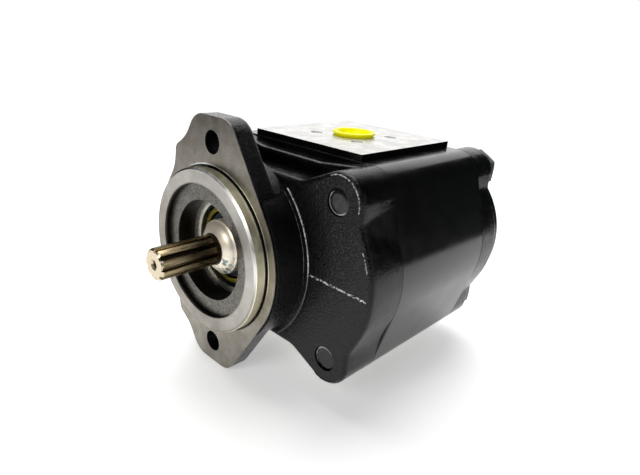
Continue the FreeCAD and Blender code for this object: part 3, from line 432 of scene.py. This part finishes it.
def turned_iron_colour(finish, radius):
    """Iron with faint stains, fine dark grain, a few pits and the rings that the tool left."""
    stain = finish.step(finish.noise(9, 4, 0.55), 0.3, 0.74)
    iron = finish.blend(stain, (0.215, 0.197, 0.168), (0.325, 0.302, 0.265))
    fine = finish.step(finish.noise(0.8, 3, 0.7), 0.42, 0.70)
    iron = finish.blend(finish.product(fine, 0.5), iron, (0.17, 0.148, 0.118))
    pits = finish.step(finish.cells(1.7), 0.05, 0.10)
    iron = finish.blend(pits, (0.05, 0.042, 0.032), iron)
    tool_rings = finish.step(finish.rings(radius, 0.35), 0.3, 0.7, 0.90, 1.07)
    return finish.blend(1.0, iron, finish.grey(tool_rings), "MULTIPLY")


def pilot_wall_colour(finish, radius, iron):
    """The ground wall of the pilot: a warmer, paler metal that darkens towards its foot."""
    along = finish.axis("Y")
    wall = finish.step(radius, PILOT_RADIUS - 0.35 * MM, PILOT_RADIUS - 0.1 * MM)
    outer = finish.step(radius, PILOT_RADIUS + 0.6 * MM, PILOT_RADIUS + 0.3 * MM)
    proud = finish.step(along, -0.15 * MM, -0.45 * MM)
    fade = finish.step(along, -6.0 * MM, -0.6 * MM)
    tan = finish.blend(fade, (1.0, 0.96, 0.74), (0.92, 0.86, 0.64))
    return finish.blend(finish.product(wall, outer, proud), iron, tan)


def pilot_painted_highlights(finish, radius, iron):
    """Painted highlights on the pilot: its face drawn paler towards the upper right, with bright painted
    lines at its chamfer and foot there.
    """
    along = finish.axis("Y")
    end = finish.math("LESS_THAN", along, PILOT_FACE_TO)
    ring = finish.step(radius, RECESS_RADIUS, RECESS_RADIUS + 0.6 * MM)
    # Painted highlight: the turned face is drawn paler towards the upper right, where the light falls on
    # it.
    lean = finish.math("ADD", finish.axis("Z"), finish.product(finish.axis("X"), 0.8))
    upper = finish.step(lean, 18 * MM, 40 * MM)
    chamfer = finish.step(radius, PILOT_RADIUS - 1.5 * MM, PILOT_RADIUS - 0.9 * MM)
    face = finish.step(lean, -30 * MM, 20 * MM, 0.04, 0.24)
    share = finish.math("MAXIMUM", finish.product(upper, chamfer), face)
    iron = finish.blend(finish.product(share, end, ring), iron, (0.93, 0.92, 0.90))
    # Painted highlight: a bright line on the flange just past the pilot's foot, on its upper side.
    foot = finish.line_at(radius, FOOT_HIGHLIGHT_RADIUS, 0.15 * MM, 0.45 * MM)
    on_flange = finish.math("GREATER_THAN", along, -0.3 * MM)
    return finish.blend(finish.product(foot, on_flange, upper), iron, (0.95, 0.95, 0.93))


def cover_finish():
    """Black paint over the casting, and bare turned iron on the flange face, pilot and seal bore."""
    finish = Finish("black_cast_paint_and_turned_iron", (0.008, 0.008, 0.009), 0, 0.3)
    radius = finish.radius()
    paint_from = finish.step(finish.noise(3.5, 3), 0.3, 0.7, 0.25 * MM, 0.55 * MM)
    face = finish.math("LESS_THAN", finish.axis("Y"), paint_from)
    in_bore = finish.math("LESS_THAN", radius, BARE_BORE_RADIUS)
    near_face = finish.math("LESS_THAN", finish.axis("Y"), BARE_BORE_TO)
    bare = finish.math("MAXIMUM", face, finish.product(in_bore, near_face))
    colour = finish.blend(bare, cast_paint_colour(finish), bare_iron_colour(finish, radius))
    paint_gloss = finish.step(finish.noise(7, 3), 0.3, 0.7, 0.15, 0.24)
    iron_gloss = finish.step(finish.noise(4, 4), 0.3, 0.7, 0.30, 0.42)
    finish.set_even("Specular IOR Level", 0.28)
    cast = sand_cast_bump(finish, 1)
    turning = finish.bump(finish.rings(radius, 0.45), 0.006)
    return finish.use(
        Base_Color=colour,
        Metallic=bare,
        Roughness=finish.mixed(bare, paint_gloss, iron_gloss),
        Normal=finish.mixed_bumps(bare, cast, turning),
    )


def rear_finish():
    """The same casting paint without any bare metal."""
    finish = Finish("black_cast_paint", (0.008, 0.008, 0.009), 0, 0.3)
    gloss = finish.step(finish.noise(7, 3), 0.3, 0.7, 0.18, 0.3)
    finish.set_even("Specular IOR Level", 0.3)
    return finish.use(
        Base_Color=cast_paint_colour(finish),
        Roughness=gloss,
        Normal=sand_cast_bump(finish, 0.9),
    )


def from_corners(finish, along, half_x, half_y, middle_y):
    """How far the place is each way from the nearest of four corners set evenly about the middle."""
    across = finish.math("ABSOLUTE", finish.math("SUBTRACT", finish.axis("X"), MIDDLE_X))
    other = finish.math("ABSOLUTE", finish.math("SUBTRACT", finish.axis(along), middle_y))
    return finish.math("SUBTRACT", across, half_x), finish.math("SUBTRACT", other, half_y)


def tapped_holes(finish):
    """One within the wall of the port's tapped holes and zero elsewhere."""
    offsets = from_corners(finish, "Y", PORT_BOLT_PLACE, PORT_BOLT_PLACE, PORT_Y)
    return finish.math("LESS_THAN", finish.distance(*offsets), PORT_BOLT_RADIUS + 0.6 * MM)


def milled_metal(finish, marks, tapped):
    """The port pads' metal: pale in clouds, crossed by darker cutter marks, brightest in the holes."""
    clouds = finish.step(finish.noise(9, 4, 0.6), 0.35, 0.7)
    metal = finish.blend(clouds, (0.44, 0.43, 0.41), (0.66, 0.65, 0.63))
    metal = finish.blend(finish.step(marks, 0.35, 0.6, 0.45, 0), metal, (0.30, 0.29, 0.27))
    return finish.blend(tapped, metal, (0.95, 0.95, 0.93))


def scratched_paint(finish):
    """Satin black with a few fine pale scratches, which all lean the same way."""
    drawn_out = finish.stretched((0.03, 1, 1), (0, 22 * DEG, 12 * DEG))
    scratch = finish.step(finish.noise(0.5, 2, 0.5, drawn_out), 0.76, 0.80)
    rare = finish.step(finish.noise(22, 2), 0.52, 0.62)
    clouds = finish.step(finish.noise(20, 3), 0.3, 0.7)
    paint = finish.blend(clouds, (0.0010, 0.0011, 0.0012), (0.0022, 0.0024, 0.0022))
    return finish.blend(finish.product(scratch, rare, 0.5), paint, (0.10, 0.10, 0.10))


def housing_finish():
    """Smooth satin black with fine handling scratches, milled pads and bright tapped holes."""
    finish = Finish("satin_black_and_milled_pads", (0.008, 0.008, 0.009), 0, 0.3)
    height = finish.math("ABSOLUTE", finish.axis("Z"))
    tapped = tapped_holes(finish)
    in_reach = finish.math("GREATER_THAN", height, PAD_TOP - PORT_BOLT_DEPTH)
    on_pad = finish.math("GREATER_THAN", height, PAD_TOP - 0.12 * MM)
    bare = finish.math("MAXIMUM", on_pad, finish.product(tapped, in_reach))
    marks = finish.noise(0.9, 3, 0.6, finish.stretched((1, 0.02, 1), (0, 0, 38 * DEG)))
    colour = finish.blend(bare, scratched_paint(finish), milled_metal(finish, marks, tapped))
    paint_gloss = finish.step(finish.noise(11, 4), 0.3, 0.7, 0.17, 0.23)
    metal_gloss = finish.step(marks, 0.3, 0.7, 0.22, 0.34)
    waves = finish.bump(finish.noise(9, 2), 0.03)
    return finish.use(
        Base_Color=colour,
        Metallic=finish.math("SUBTRACT", bare, finish.product(tapped, 0.9), clamp=True),
        Roughness=finish.mixed(bare, paint_gloss, metal_gloss),
        Normal=finish.bump(finish.noise(0.8, 2), 0.0045, under=waves),
    )


def spline_colour(finish, streak):
    """Brown-gold lands drawn out along the shaft, painted shade in the grooves between them, and a paler
    end.
    """
    tooth_edge, groove_floor = 7.35 * MM, 6.7 * MM
    end_chamfer = 0.95 * MM
    lands = finish.blend(
        finish.step(streak, 0.3, 0.7), (0.30, 0.225, 0.115), (0.66, 0.54, 0.33)
    )
    # Painted shade: the groove floors are drawn dark brown, standing for the shade between the lands.
    groove_shade = finish.step(finish.radius(), tooth_edge, groove_floor)
    brown = finish.blend(finish.product(groove_shade, 0.9), lands, (0.045, 0.033, 0.016))
    end_face = finish.math("LESS_THAN", finish.axis("Y"), SHAFT_START + end_chamfer)
    return finish.blend(end_face, brown, (0.62, 0.53, 0.38))


def cone_colour(finish):
    """Pale polished steel, with traces of blue-green marking ink low down on the right."""
    clouds = finish.step(finish.noise(7, 3), 0.3, 0.7)
    pale = finish.blend(clouds, (0.90, 0.79, 0.62), (0.98, 0.91, 0.77))
    smear = finish.step(finish.noise(2.6, 3, 0.6), 0.50, 0.58)
    low = finish.step(finish.axis("Z"), 0.5 * MM, -4.0 * MM)
    right = finish.step(finish.axis("X"), 1.5 * MM, 5.5 * MM)
    return finish.blend(finish.product(smear, low, right, 0.85), pale, (0.005, 0.13, 0.17))


def shaft_finish():
    """Brown-gold spline, a dark plain collar, and a bright cone with traces of marking ink."""
    finish = Finish("spline_and_polished_cone", (0.5, 0.45, 0.36), 1, 0.3)
    along = finish.axis("Y")
    streak = finish.noise(1.6, 4, 0.6, finish.stretched((1, 0.12, 1)))
    cone = finish.step(along, -0.1 * MM, 0.15 * MM)
    colour = finish.blend(cone, spline_colour(finish, streak), cone_colour(finish))
    past_spline = finish.step(along, -3.6 * MM, -1.6 * MM)
    before_cone = finish.step(along, 0.15 * MM, 0)
    collar = finish.product(past_spline, before_cone, 0.93)
    turned = finish.bump(finish.rings(along, 0.5), 0.0015)
    marks = finish.mixed(cone, streak, 0.5)
    return finish.use(
        Base_Color=finish.blend(collar, colour, (0.03, 0.024, 0.018)),
        Metallic=finish.mixed(cone, 1.0, 0.5),
        Roughness=finish.mixed(cone, finish.step(streak, 0.3, 0.7, 0.22, 0.34), 0.38),
        Normal=finish.bump(marks, 0.012, under=turned),
    )


def steel_finish(name, dark, light, gloss):
    """A machined metal with a fine grain along the shaft."""
    finish = Finish(name, light, 1, gloss)
    grain = finish.noise(1.2, 4, 0.6, finish.stretched((1, 0.15, 1)))
    return finish.use(
        Base_Color=finish.blend(finish.step(grain, 0.3, 0.7), dark, light),
        Roughness=finish.step(grain, 0.3, 0.7, gloss, gloss + 0.12),
        Normal=finish.bump(grain, 0.008),
    )


def rubber_finish():
    """Oily blue-black rubber with a faint bloom."""
    finish = Finish("seal_rubber", (0.012, 0.012, 0.014), 0, 0.45)
    finish.set_even("Specular IOR Level", 0.15)
    bloom = finish.step(finish.noise(2.5, 4, 0.6), 0.35, 0.75)
    return finish.use(
        Base_Color=finish.blend(bloom, (0.002, 0.006, 0.014), (0.006, 0.014, 0.03)),
        Roughness=finish.step(bloom, 0, 1, 0.35, 0.6),
        Normal=finish.bump(finish.noise(0.5, 3), 0.01),
    )


def plug_finish():
    """Soft yellow polyethylene that lets light through, with a faint painted glow, a little uneven in its
    colour and gloss.
    """
    finish = Finish("yellow_polythene", (0.98, 0.9, 0.0), 0, 0.36)
    cloud = finish.step(finish.noise(5, 3), 0.3, 0.7)
    finish.set_even("Specular IOR Level", 0.3)
    # Painted glow: a faint yellow emission keeps the plug bright, though it is no lamp.
    finish.set_even("Emission Color", (1, 0.93, 0, 1))
    finish.set_even("Emission Strength", 0.22)
    finish.set_even("Subsurface Weight", 0.12)
    finish.set_even("Subsurface Radius", (1.2 * MM, 0.9 * MM, 0.2 * MM))
    return finish.use(
        Base_Color=finish.blend(cloud, (0.98, 0.90, 0.0), (1.0, 0.97, 0.004)),
        Roughness=finish.step(cloud, 0, 1, 0.3, 0.42),
        Normal=finish.bump(finish.noise(0.9, 3), 0.012),
    )


def plastic_finish(name, dark, light):
    """A dull moulded plastic with soft clouds in it."""
    finish = Finish(name, light, 0, 0.5)
    return finish.use(
        Base_Color=finish.blend(finish.step(finish.noise(4, 3), 0.3, 0.7), dark, light),
        Normal=finish.bump(finish.noise(0.6, 2), 0.008),
    )


def bolt_finish():
    """Thin black paint, with a painted highlight round one side of each bolt's end, broken up like worn
    paint.
    """
    finish = Finish("black_painted_bolt", (0.008, 0.008, 0.009), 0, 0.28)
    runs = finish.noise(2.2, 3)
    paint = finish.blend(
        finish.step(runs, 0.3, 0.7), (0.001, 0.0012, 0.0015), (0.003, 0.0032, 0.0035)
    )
    half_x = (BOLT_X[1] - BOLT_X[0]) / 2
    from_x, from_z = from_corners(finish, "Z", half_x, BOLT_Z[1], 0)
    # Painted highlight: a pale ring at the rim of each bolt's end, only on the side facing the pump's
    # middle.
    ring = finish.line_at(
        finish.distance(from_x, from_z), BOLT_RADIUS - 0.6 * MM, 0.15 * MM, 0.45 * MM
    )
    side = finish.step(finish.math("ADD", from_x, from_z), 2 * MM, -2 * MM)
    front = finish.math("LESS_THAN", finish.axis("Y"), BOLT_LOW.y + 2 * MM)
    broken = finish.step(finish.noise(1.3, 3, 0.6), 0.3, 0.5)
    painted_edge_highlight = finish.product(ring, side, front, broken)
    return finish.use(
        Base_Color=finish.blend(painted_edge_highlight, paint, (0.55, 0.56, 0.57)),
        Roughness=finish.step(runs, 0.3, 0.7, 0.22, 0.36),
        Normal=finish.bump(finish.noise(0.9, 2), 0.018),
    )


# ---- Mesh tools ---------------------------------------------------------------------------------------


def own_piece(name, shape, body, material, slot, *replaced):
    """Turns a finished bmesh into a piece that rides on its body."""
    mesh = bpy.data.meshes.new(name)
    shape.to_mesh(mesh)
    shape.free()
    piece = add_object(name, mesh)
    mesh.materials.append(material)
    mesh.shade_smooth()
    mesh.set_sharp_from_angle(angle=32 * DEG)
    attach(piece, body)
    if replaced:
        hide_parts(*replaced)
    return piece


def copy_of(node):
    """The CAD piece's own mesh, with its loose triangles joined and its flat faces made whole."""
    shape = bmesh.new()
    shape.from_mesh(frame["nodes"][node].data)
    bmesh.ops.remove_doubles(shape, verts=shape.verts, dist=2e-7)
    bmesh.ops.dissolve_limit(
        shape, angle_limit=0.3 * DEG, verts=shape.verts, edges=shape.edges, delimit=set()
    )
    shape.faces.ensure_lookup_table()
    for face in shape.faces:
        face.material_index = 0
    return shape


def soften_edges(piece, width):
    """Breaks a machined or cast piece's edges, so that they catch the light."""
    bevel = piece.modifiers.new("broken_edges", "BEVEL")
    bevel.width = width
    bevel.segments = 2
    bevel.limit_method = "ANGLE"
    bevel.angle_limit = 38 * DEG
    bevel.miter_outer = "MITER_ARC"
    bevel.harden_normals = True
    weights = piece.modifiers.new("even_shading", "WEIGHTED_NORMAL")
    weights.keep_sharp = True


def spun(profile, axis, centre, steps=96):
    """A round shape turned from (radius, place) points, whose outline is closed off the axis."""
    shape = bmesh.new()
    along = Vector((0, 1, 0)) if axis == "Y" else Vector((0, 0, 1))
    verts = [shape.verts.new(Vector((r, 0, 0)) + along * place) for r, place in profile]
    pairs = list(zip(verts, verts[1:]))
    on_axis = profile[0][0] == 0 and profile[-1][0] == 0
    if not on_axis:
        pairs.append((verts[-1], verts[0]))
    edges = [shape.edges.new(pair) for pair in pairs]
    bmesh.ops.spin(
        shape,
        geom=verts + edges,
        cent=(0, 0, 0),
        axis=along,
        angle=2 * math.pi,
        steps=steps,
        use_merge=True,
    )
    bmesh.ops.remove_doubles(shape, verts=shape.verts, dist=1e-7)
    bmesh.ops.recalc_face_normals(shape, faces=shape.faces)
    bmesh.ops.translate(shape, verts=shape.verts, vec=centre)
    return shape


def rounded(points, radius, steps=4):
    """The closed outline through these corners, each rounded by up to that radius."""
    corners = [Vector(p) for p in points]
    out = []
    for i, here in enumerate(corners):
        before, after = corners[i - 1], corners[(i + 1) % len(corners)]
        size = min(radius, (before - here).length * 0.45, (after - here).length * 0.45)
        if here.x < 1e-6 or size < 1e-6:
            out.append(here)
            continue
        start = here + (before - here).normalized() * size
        end = here + (after - here).normalized() * size
        for k in range(steps + 1):
            t = k / steps
            out.append(start * (1 - t) ** 2 + here * 2 * t * (1 - t) + end * t**2)
    return [(p.x, p.y) for p in out]


# ---- Pieces -------------------------------------------------------------------------------------------


def dress_castings():
    """The three big castings, with their edges broken."""
    for node, material, slot, width in (
        ("shaft_end_cover", cover_finish(), "black_casting", 0.35 * MM),
        ("gear_housing", housing_finish(), "black_housing", 0.25 * MM),
        ("rear_cover", rear_finish(), "black_casting", 0.35 * MM),
    ):
        piece = own_piece(f"{node}_casting", copy_of(node), "case", material, slot, node)
        soften_edges(piece, width)


def dress_shaft():
    """The splined shaft with its gear, and the polished cone that rides on top of its plain one."""
    metal = shaft_finish()
    shape = copy_of("drive_gear_shaft")
    piece = own_piece(
        "splined_shaft_and_gear", shape, "drive_shaft", metal, "ground_steel", "drive_gear_shaft"
    )
    soften_edges(piece, 0.18 * MM)
    own_piece("polished_cone", swollen_cone(), "drive_shaft", metal, "ground_steel")


def swollen_cone():
    """The cone in front of the seal, whose sides bulge a little over the straight ones."""
    start, end = CONE_START_RADIUS, JOURNAL_RADIUS
    profile = [(start - 1.0 * MM, 0.6 * MM), (start - 0.2 * MM, -0.15 * MM)]
    steps = 14
    for i in range(steps + 1):
        share = i / steps
        swell = CONE_SWELL * math.sin(math.pi * min(1, share * 1.15))
        profile.append((start + (end - start) * share + swell, CONE_LENGTH * share - swell * 0.6))
    profile.append((end - 1.5 * MM, CONE_LENGTH - 0.6 * MM))
    return spun(profile, "Y", (0, 0, 0), 128)


def hex_head(shape, centre, base_y, top_y):
    """A bolt head: a hexagon whose top corners are turned off, with a flat disc left on top."""
    around = 48
    ring = bmesh.ops.create_circle(shape, cap_ends=True, radius=1, segments=around)["verts"]
    turn = Matrix.Rotation(-90 * DEG, 4, "X")
    bmesh.ops.transform(shape, matrix=turn, verts=ring)
    for vert in ring:
        angle = math.atan2(vert.co.z, vert.co.x)
        from_flat = (angle + math.pi / 6) % (math.pi / 3) - math.pi / 6
        vert.co = vert.co.normalized() * (HEAD_FLATS / 2 / math.cos(from_flat))
    face = ring[0].link_faces[0]
    bmesh.ops.translate(shape, verts=ring, vec=(centre[0], base_y, centre[1]))
    rise = top_y - base_y
    wall = bmesh.ops.extrude_face_region(shape, geom=[face])
    top = [v for v in wall["geom"] if isinstance(v, bmesh.types.BMVert)]
    chamfer_r = HEAD_FLATS / 2 * 0.97
    for vert in top:
        offset = Vector((vert.co.x - centre[0], 0, vert.co.z - centre[1]))
        drop = (offset.length - chamfer_r) * math.tan(28 * DEG)
        vert.co.y += rise - drop
    cap = [f for f in wall["geom"] if isinstance(f, bmesh.types.BMFace)][0]
    disc = bmesh.ops.extrude_face_region(shape, geom=[cap])
    for vert in [v for v in disc["geom"] if isinstance(v, bmesh.types.BMVert)]:
        offset = Vector((vert.co.x - centre[0], 0, vert.co.z - centre[1]))
        vert.co = Vector((centre[0], top_y, centre[1])) + offset.normalized() * chamfer_r
    if cap.is_valid:
        bmesh.ops.delete(shape, geom=[cap], context="FACES_ONLY")


def make_bolts(paint):
    """Four bolts: a hexagon head behind the rear cover, and a shank with a rounded end in each ear."""
    shape = bmesh.new()
    head_start, low = WASHER_HIGH.y, BOLT_LOW.y
    profile = [
        (0, head_start),
        (BOLT_RADIUS, head_start),
        (BOLT_RADIUS, low + 1.1 * MM),
        (BOLT_RADIUS - 0.35 * MM, low + 0.45 * MM),
        (BOLT_RADIUS - 1.0 * MM, low + 0.12 * MM),
        (BOLT_RADIUS * 0.55, low),
        (0, low),
    ]
    for x in BOLT_X:
        for z in BOLT_Z:
            hex_head(shape, (x, z), head_start, BOLT_HIGH.y)
            add_shape(shape, spun(profile, "Y", (x, 0, z), 48))
    bmesh.ops.recalc_face_normals(shape, faces=shape.faces)
    own_piece("painted_hex_bolts", shape, "case", paint, "painted_bolt", "case_bolts")


def add_shape(target, extra):
    """Adds one bmesh to another."""
    mesh = bpy.data.meshes.new("joining")
    extra.to_mesh(mesh)
    extra.free()
    target.from_mesh(mesh)
    bpy.data.meshes.remove(mesh)


def make_washers(paint):
    """Four washers with rounded edges."""
    shape = bmesh.new()
    start, end = WASHER_LOW.y, WASHER_HIGH.y
    hole = BOLT_RADIUS + 0.1 * MM
    outline = [(hole, start), (WASHER_RADIUS, start), (WASHER_RADIUS, end), (hole, end)]
    profile = rounded(outline, 0.35 * MM)
    for x in BOLT_X:
        for z in BOLT_Z:
            add_shape(shape, spun(profile, "Y", (x, 0, z), 64))
    own_piece("painted_washers", shape, "case", paint, "painted_bolt", "bolt_washers")


def make_plugs(yellow):
    """Dust plugs: a tapered rim with a rolled edge, a dish with a sloping wall, and a thin skirt."""
    for node, side, body in (("top_port_plug", 1, "top_plug"), ("bottom_port_plug", -1, "bottom_plug")):
        low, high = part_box(node)
        rim_r = (high.x - low.x) / 2
        top = high.z if side > 0 else -low.z
        bottom = low.z if side > 0 else -high.z
        skirt = 9.9 * MM
        wall = 1.2 * MM
        floor = top - 5.5 * MM
        outline = [
            (0, floor + 0.5 * MM),
            (5.6 * MM, floor + 0.35 * MM),
            (7.4 * MM, floor + 0.6 * MM),
            (8.7 * MM, top - 0.9 * MM),
            (9.4 * MM, top),
            (rim_r - 0.3 * MM, top),
            (rim_r, top - 0.7 * MM),
            (rim_r - 1.3 * MM, PAD_TOP + 0.02 * MM),
            (skirt, PAD_TOP + 0.02 * MM),
            (skirt - 0.25 * MM, bottom),
            (skirt - 0.25 * MM - wall, bottom),
            (skirt - wall - 0.3 * MM, floor - wall),
            (0, floor - wall),
        ]
        profile = [(r, place * side) for r, place in rounded(outline, 0.45 * MM, 5)]
        shape = spun(profile, "Z", (MIDDLE_X, PORT_Y, 0))
        own_piece(f"{node}_moulding", shape, body, yellow, "yellow_plastic", node)


def strip_along(name, points, width, height, up, material, seed=0.0):
    """A low rounded ridge that follows points on the casting, rising along up, with a rough crest."""
    shape = bmesh.new()
    rise = Vector(up)
    count = 5
    rows = []
    for i, point in enumerate(points):
        here = Vector(point)
        ahead = Vector(points[min(i + 1, len(points) - 1)]) - Vector(points[max(i - 1, 0)])
        side = ahead.normalized().cross(rise)
        wobble = 1 + 0.25 * math.sin(i * 1.9 + seed) + 0.15 * math.sin(i * 4.7 + seed * 3)
        taper = min(1, (i + 0.3) / 2, (len(points) - 0.7 - i) / 2)
        row = []
        for k in range(count):
            turn = math.pi * k / (count - 1)
            offset = side * (math.cos(turn) * width / 2)
            offset += rise * (math.sin(turn) * height * wobble * taper - height * 0.3)
            row.append(shape.verts.new(here + offset))
        rows.append(row)
    loops = []
    for row in rows:
        loops.append([shape.edges.new(pair) for pair in zip(row, row[1:] + row[:1])])
    for first, second in zip(loops, loops[1:]):
        bmesh.ops.bridge_loops(shape, edges=first + second)
    for row in (rows[0], rows[-1]):
        shape.faces.new(row)
    bmesh.ops.recalc_face_normals(shape, faces=shape.faces)
    own_piece(name, shape, "case", material, "black_casting")


def chipped_and_glinting_ridge_finish():
    """A cast ridge with pale specks on its crest: partly chipped paint, partly painted glints where light
    catches it.
    """
    finish = Finish("ridge_chips_and_painted_glints", (0.01, 0.01, 0.011), 0, 0.3)
    chip_and_glint_specks = finish.step(finish.noise(0.8, 3, 0.75), 0.50, 0.55)
    return finish.use(
        Base_Color=finish.blend(chip_and_glint_specks, (0.003, 0.003, 0.004), (0.85, 0.85, 0.84)),
        Roughness=finish.step(chip_and_glint_specks, 0, 1, 0.22, 0.5),
        Normal=finish.bump(finish.noise(0.7, 3), 0.10),
    )


def arc_points(x, y, radii, turns, count):
    """Points round an axis along Y, while the radius and the turn go from their first to their last."""
    points = []
    for i in range(count + 1):
        share = i / count
        turn = (turns[0] + (turns[1] - turns[0]) * share) * DEG
        radius = radii[0] + (radii[1] - radii[0]) * share
        points.append((x + radius * math.cos(turn), y, radius * math.sin(turn)))
    return points


def make_parting_line(paint):
    """The seam that the mould's two halves left across the ear plate."""
    steps = 52
    start_x, end_x = 50.5 * MM, 84.3 * MM
    points = [
        (start_x + (end_x - start_x) * i / steps, EAR_FRONT, 0.22 * MM * math.sin(i * 1.3))
        for i in range(steps + 1)
    ]
    strip_along("parting_line", points, 1.0 * MM, 0.42 * MM, (0, -1, 0), paint)


def make_flashes(glinting_ridge):
    """The thin flash left along the edges of the ears and beside the round end of the case, with painted
    glints on the upper ears' and the round's flashes.
    """
    plain = rear_finish()
    width, height, out = 0.6 * MM, 0.25 * MM, (0, -1, 0)
    place_y = EAR_FRONT + 0.1 * MM
    ear_radii, round_radius = (11.7 * MM, 11.3 * MM), 44.7 * MM
    for x, flip in ((BOLT_X[1], 1), (BOLT_X[0], -1)):
        for side, word in ((1, "upper"), (-1, "lower")):
            arc = arc_points(0, place_y, ear_radii, (118, -12), 26)
            edge = [(x + px * flip, y, (BOLT_Z[1] + pz) * side) for px, y, pz in arc]
            name = f"{word}_ear_flash_{'driven' if flip > 0 else 'free'}"
            # Painted glints go only on the upper ears' flashes, where the light falls; the lower ones get
            # plain paint.
            paint = glinting_ridge if side > 0 else plain
            strip_along(name, edge, width, height, out, paint, x + side)
    edge = arc_points(GEAR_X, place_y, (round_radius, round_radius), (30, 15), 10)
    strip_along("round_flash", edge, width, height, out, glinting_ridge, 2.0)


def bead_painted_highlight_finish(inner, outer):
    """Black paint with painted highlights along both edges of the bead, broken up in specks and strongest
    towards its upper end.
    """
    finish = Finish("bead_paint_with_painted_highlights", (0.008, 0.008, 0.009), 0, 0.3)
    radius = finish.radius()
    highlight_breakup = finish.step(finish.noise(0.9, 3, 0.7), 0.42, 0.56, 0.15, 1.0)
    # The painted highlight fades towards the bead's lower end, away from the light.
    upper = finish.step(finish.axis("Z"), -6 * MM, 6 * MM, 0.12, 1.0)
    edges = [
        finish.line_at(radius, place, 0.12 * MM, 0.36 * MM, strength)
        for place, strength in ((inner + 0.35 * MM, 0.85), (outer - 0.35 * MM, 1.0))
    ]
    painted_edge_highlight = finish.product(finish.math("MAXIMUM", *edges), upper, highlight_breakup)
    colour = finish.blend(painted_edge_highlight, cast_paint_colour(finish), (0.78, 0.78, 0.77))
    return finish.use(
        Base_Color=colour,
        Roughness=finish.step(finish.noise(3, 2), 0.3, 0.7, 0.16, 0.28),
        Normal=sand_cast_bump(finish, 0.6),
    )


def make_neck_bead():
    """The raised bead round the foot of the neck, square at its ends."""
    shape = bmesh.new()
    inner, outer = 47.5 * MM, 51.1 * MM
    crest, foot = EAR_FRONT - 1.1 * MM, EAR_FRONT + 0.3 * MM
    outline = rounded([(inner, foot), (outer, foot), (outer, crest), (inner, crest)], 0.55 * MM, 5)
    start, sweep = -50 * DEG, 97.5 * DEG
    verts = [shape.verts.new((r * math.cos(start), y, r * math.sin(start))) for r, y in outline]
    face = shape.faces.new(verts)
    bmesh.ops.spin(shape, geom=[face], cent=(0, 0, 0), axis=(0, -1, 0), angle=sweep, steps=40)
    bmesh.ops.remove_doubles(shape, verts=shape.verts, dist=1e-7)
    bmesh.ops.recalc_face_normals(shape, faces=shape.faces)
    own_piece("neck_bead", shape, "case", bead_painted_highlight_finish(inner, outer), "black_casting")


def dress_small_pieces():
    """Gives the seals, rings, blocks, bushes, dowels and the driven gear their own metals and rubbers."""
    seal_steel = steel_finish("bright_seal_steel", (0.62, 0.60, 0.55), (0.92, 0.90, 0.85), 0.34)
    spring_steel = steel_finish("oiled_spring_steel", (0.03, 0.035, 0.045), (0.08, 0.09, 0.11), 0.35)
    ground = steel_finish("ground_steel", (0.45, 0.44, 0.42), (0.68, 0.67, 0.65), 0.22)
    brass = steel_finish("brass_ring", (0.14, 0.12, 0.015), (0.36, 0.30, 0.05), 0.42)
    bronze = steel_finish("bronze_bush", (0.38, 0.25, 0.12), (0.58, 0.40, 0.22), 0.3)
    alloy = steel_finish("aluminium_block", (0.55, 0.55, 0.56), (0.74, 0.74, 0.75), 0.34)
    rubber = rubber_finish()
    backup = plastic_finish("seal_backup", (0.70, 0.68, 0.60), (0.86, 0.84, 0.78))
    finishes = {
        "shaft_seal_case": seal_steel,
        "shaft_seal_spring": spring_steel,
        "retaining_ring": seal_steel,
        "seal_support_ring": brass,
        "shaft_seal_lip": rubber,
        "front_housing_seal": rubber,
        "rear_housing_seal": rubber,
        "front_block_seal": rubber,
        "rear_block_seal": rubber,
        "front_seal_backup": backup,
        "rear_seal_backup": backup,
        "front_bearing_block": alloy,
        "rear_bearing_block": alloy,
        "front_drive_bush": bronze,
        "front_driven_bush": bronze,
        "rear_drive_bush": bronze,
        "rear_driven_bush": bronze,
        "driven_gear_shaft": ground,
        "front_dowels": ground,
        "rear_dowels": ground,
    }
    slots = {entry["node"]: entry["material_slot"] for entry in frame["record"]["subparts"]}
    for node, material in finishes.items():
        body = frame["nodes"][node]["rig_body"]
        own_piece(f"{node}_piece", copy_of(node), body, material, slots[node], node)


make_camera()
make_studio()
make_floor()
dress_castings()
dress_shaft()
bolt_paint = bolt_finish()
make_bolts(bolt_paint)
make_washers(bolt_paint)
make_plugs(plug_finish())
ridge_chips_and_glints = chipped_and_glinting_ridge_finish()
make_parting_line(ridge_chips_and_glints)
make_flashes(ridge_chips_and_glints)
make_neck_bead()
dress_small_pieces()
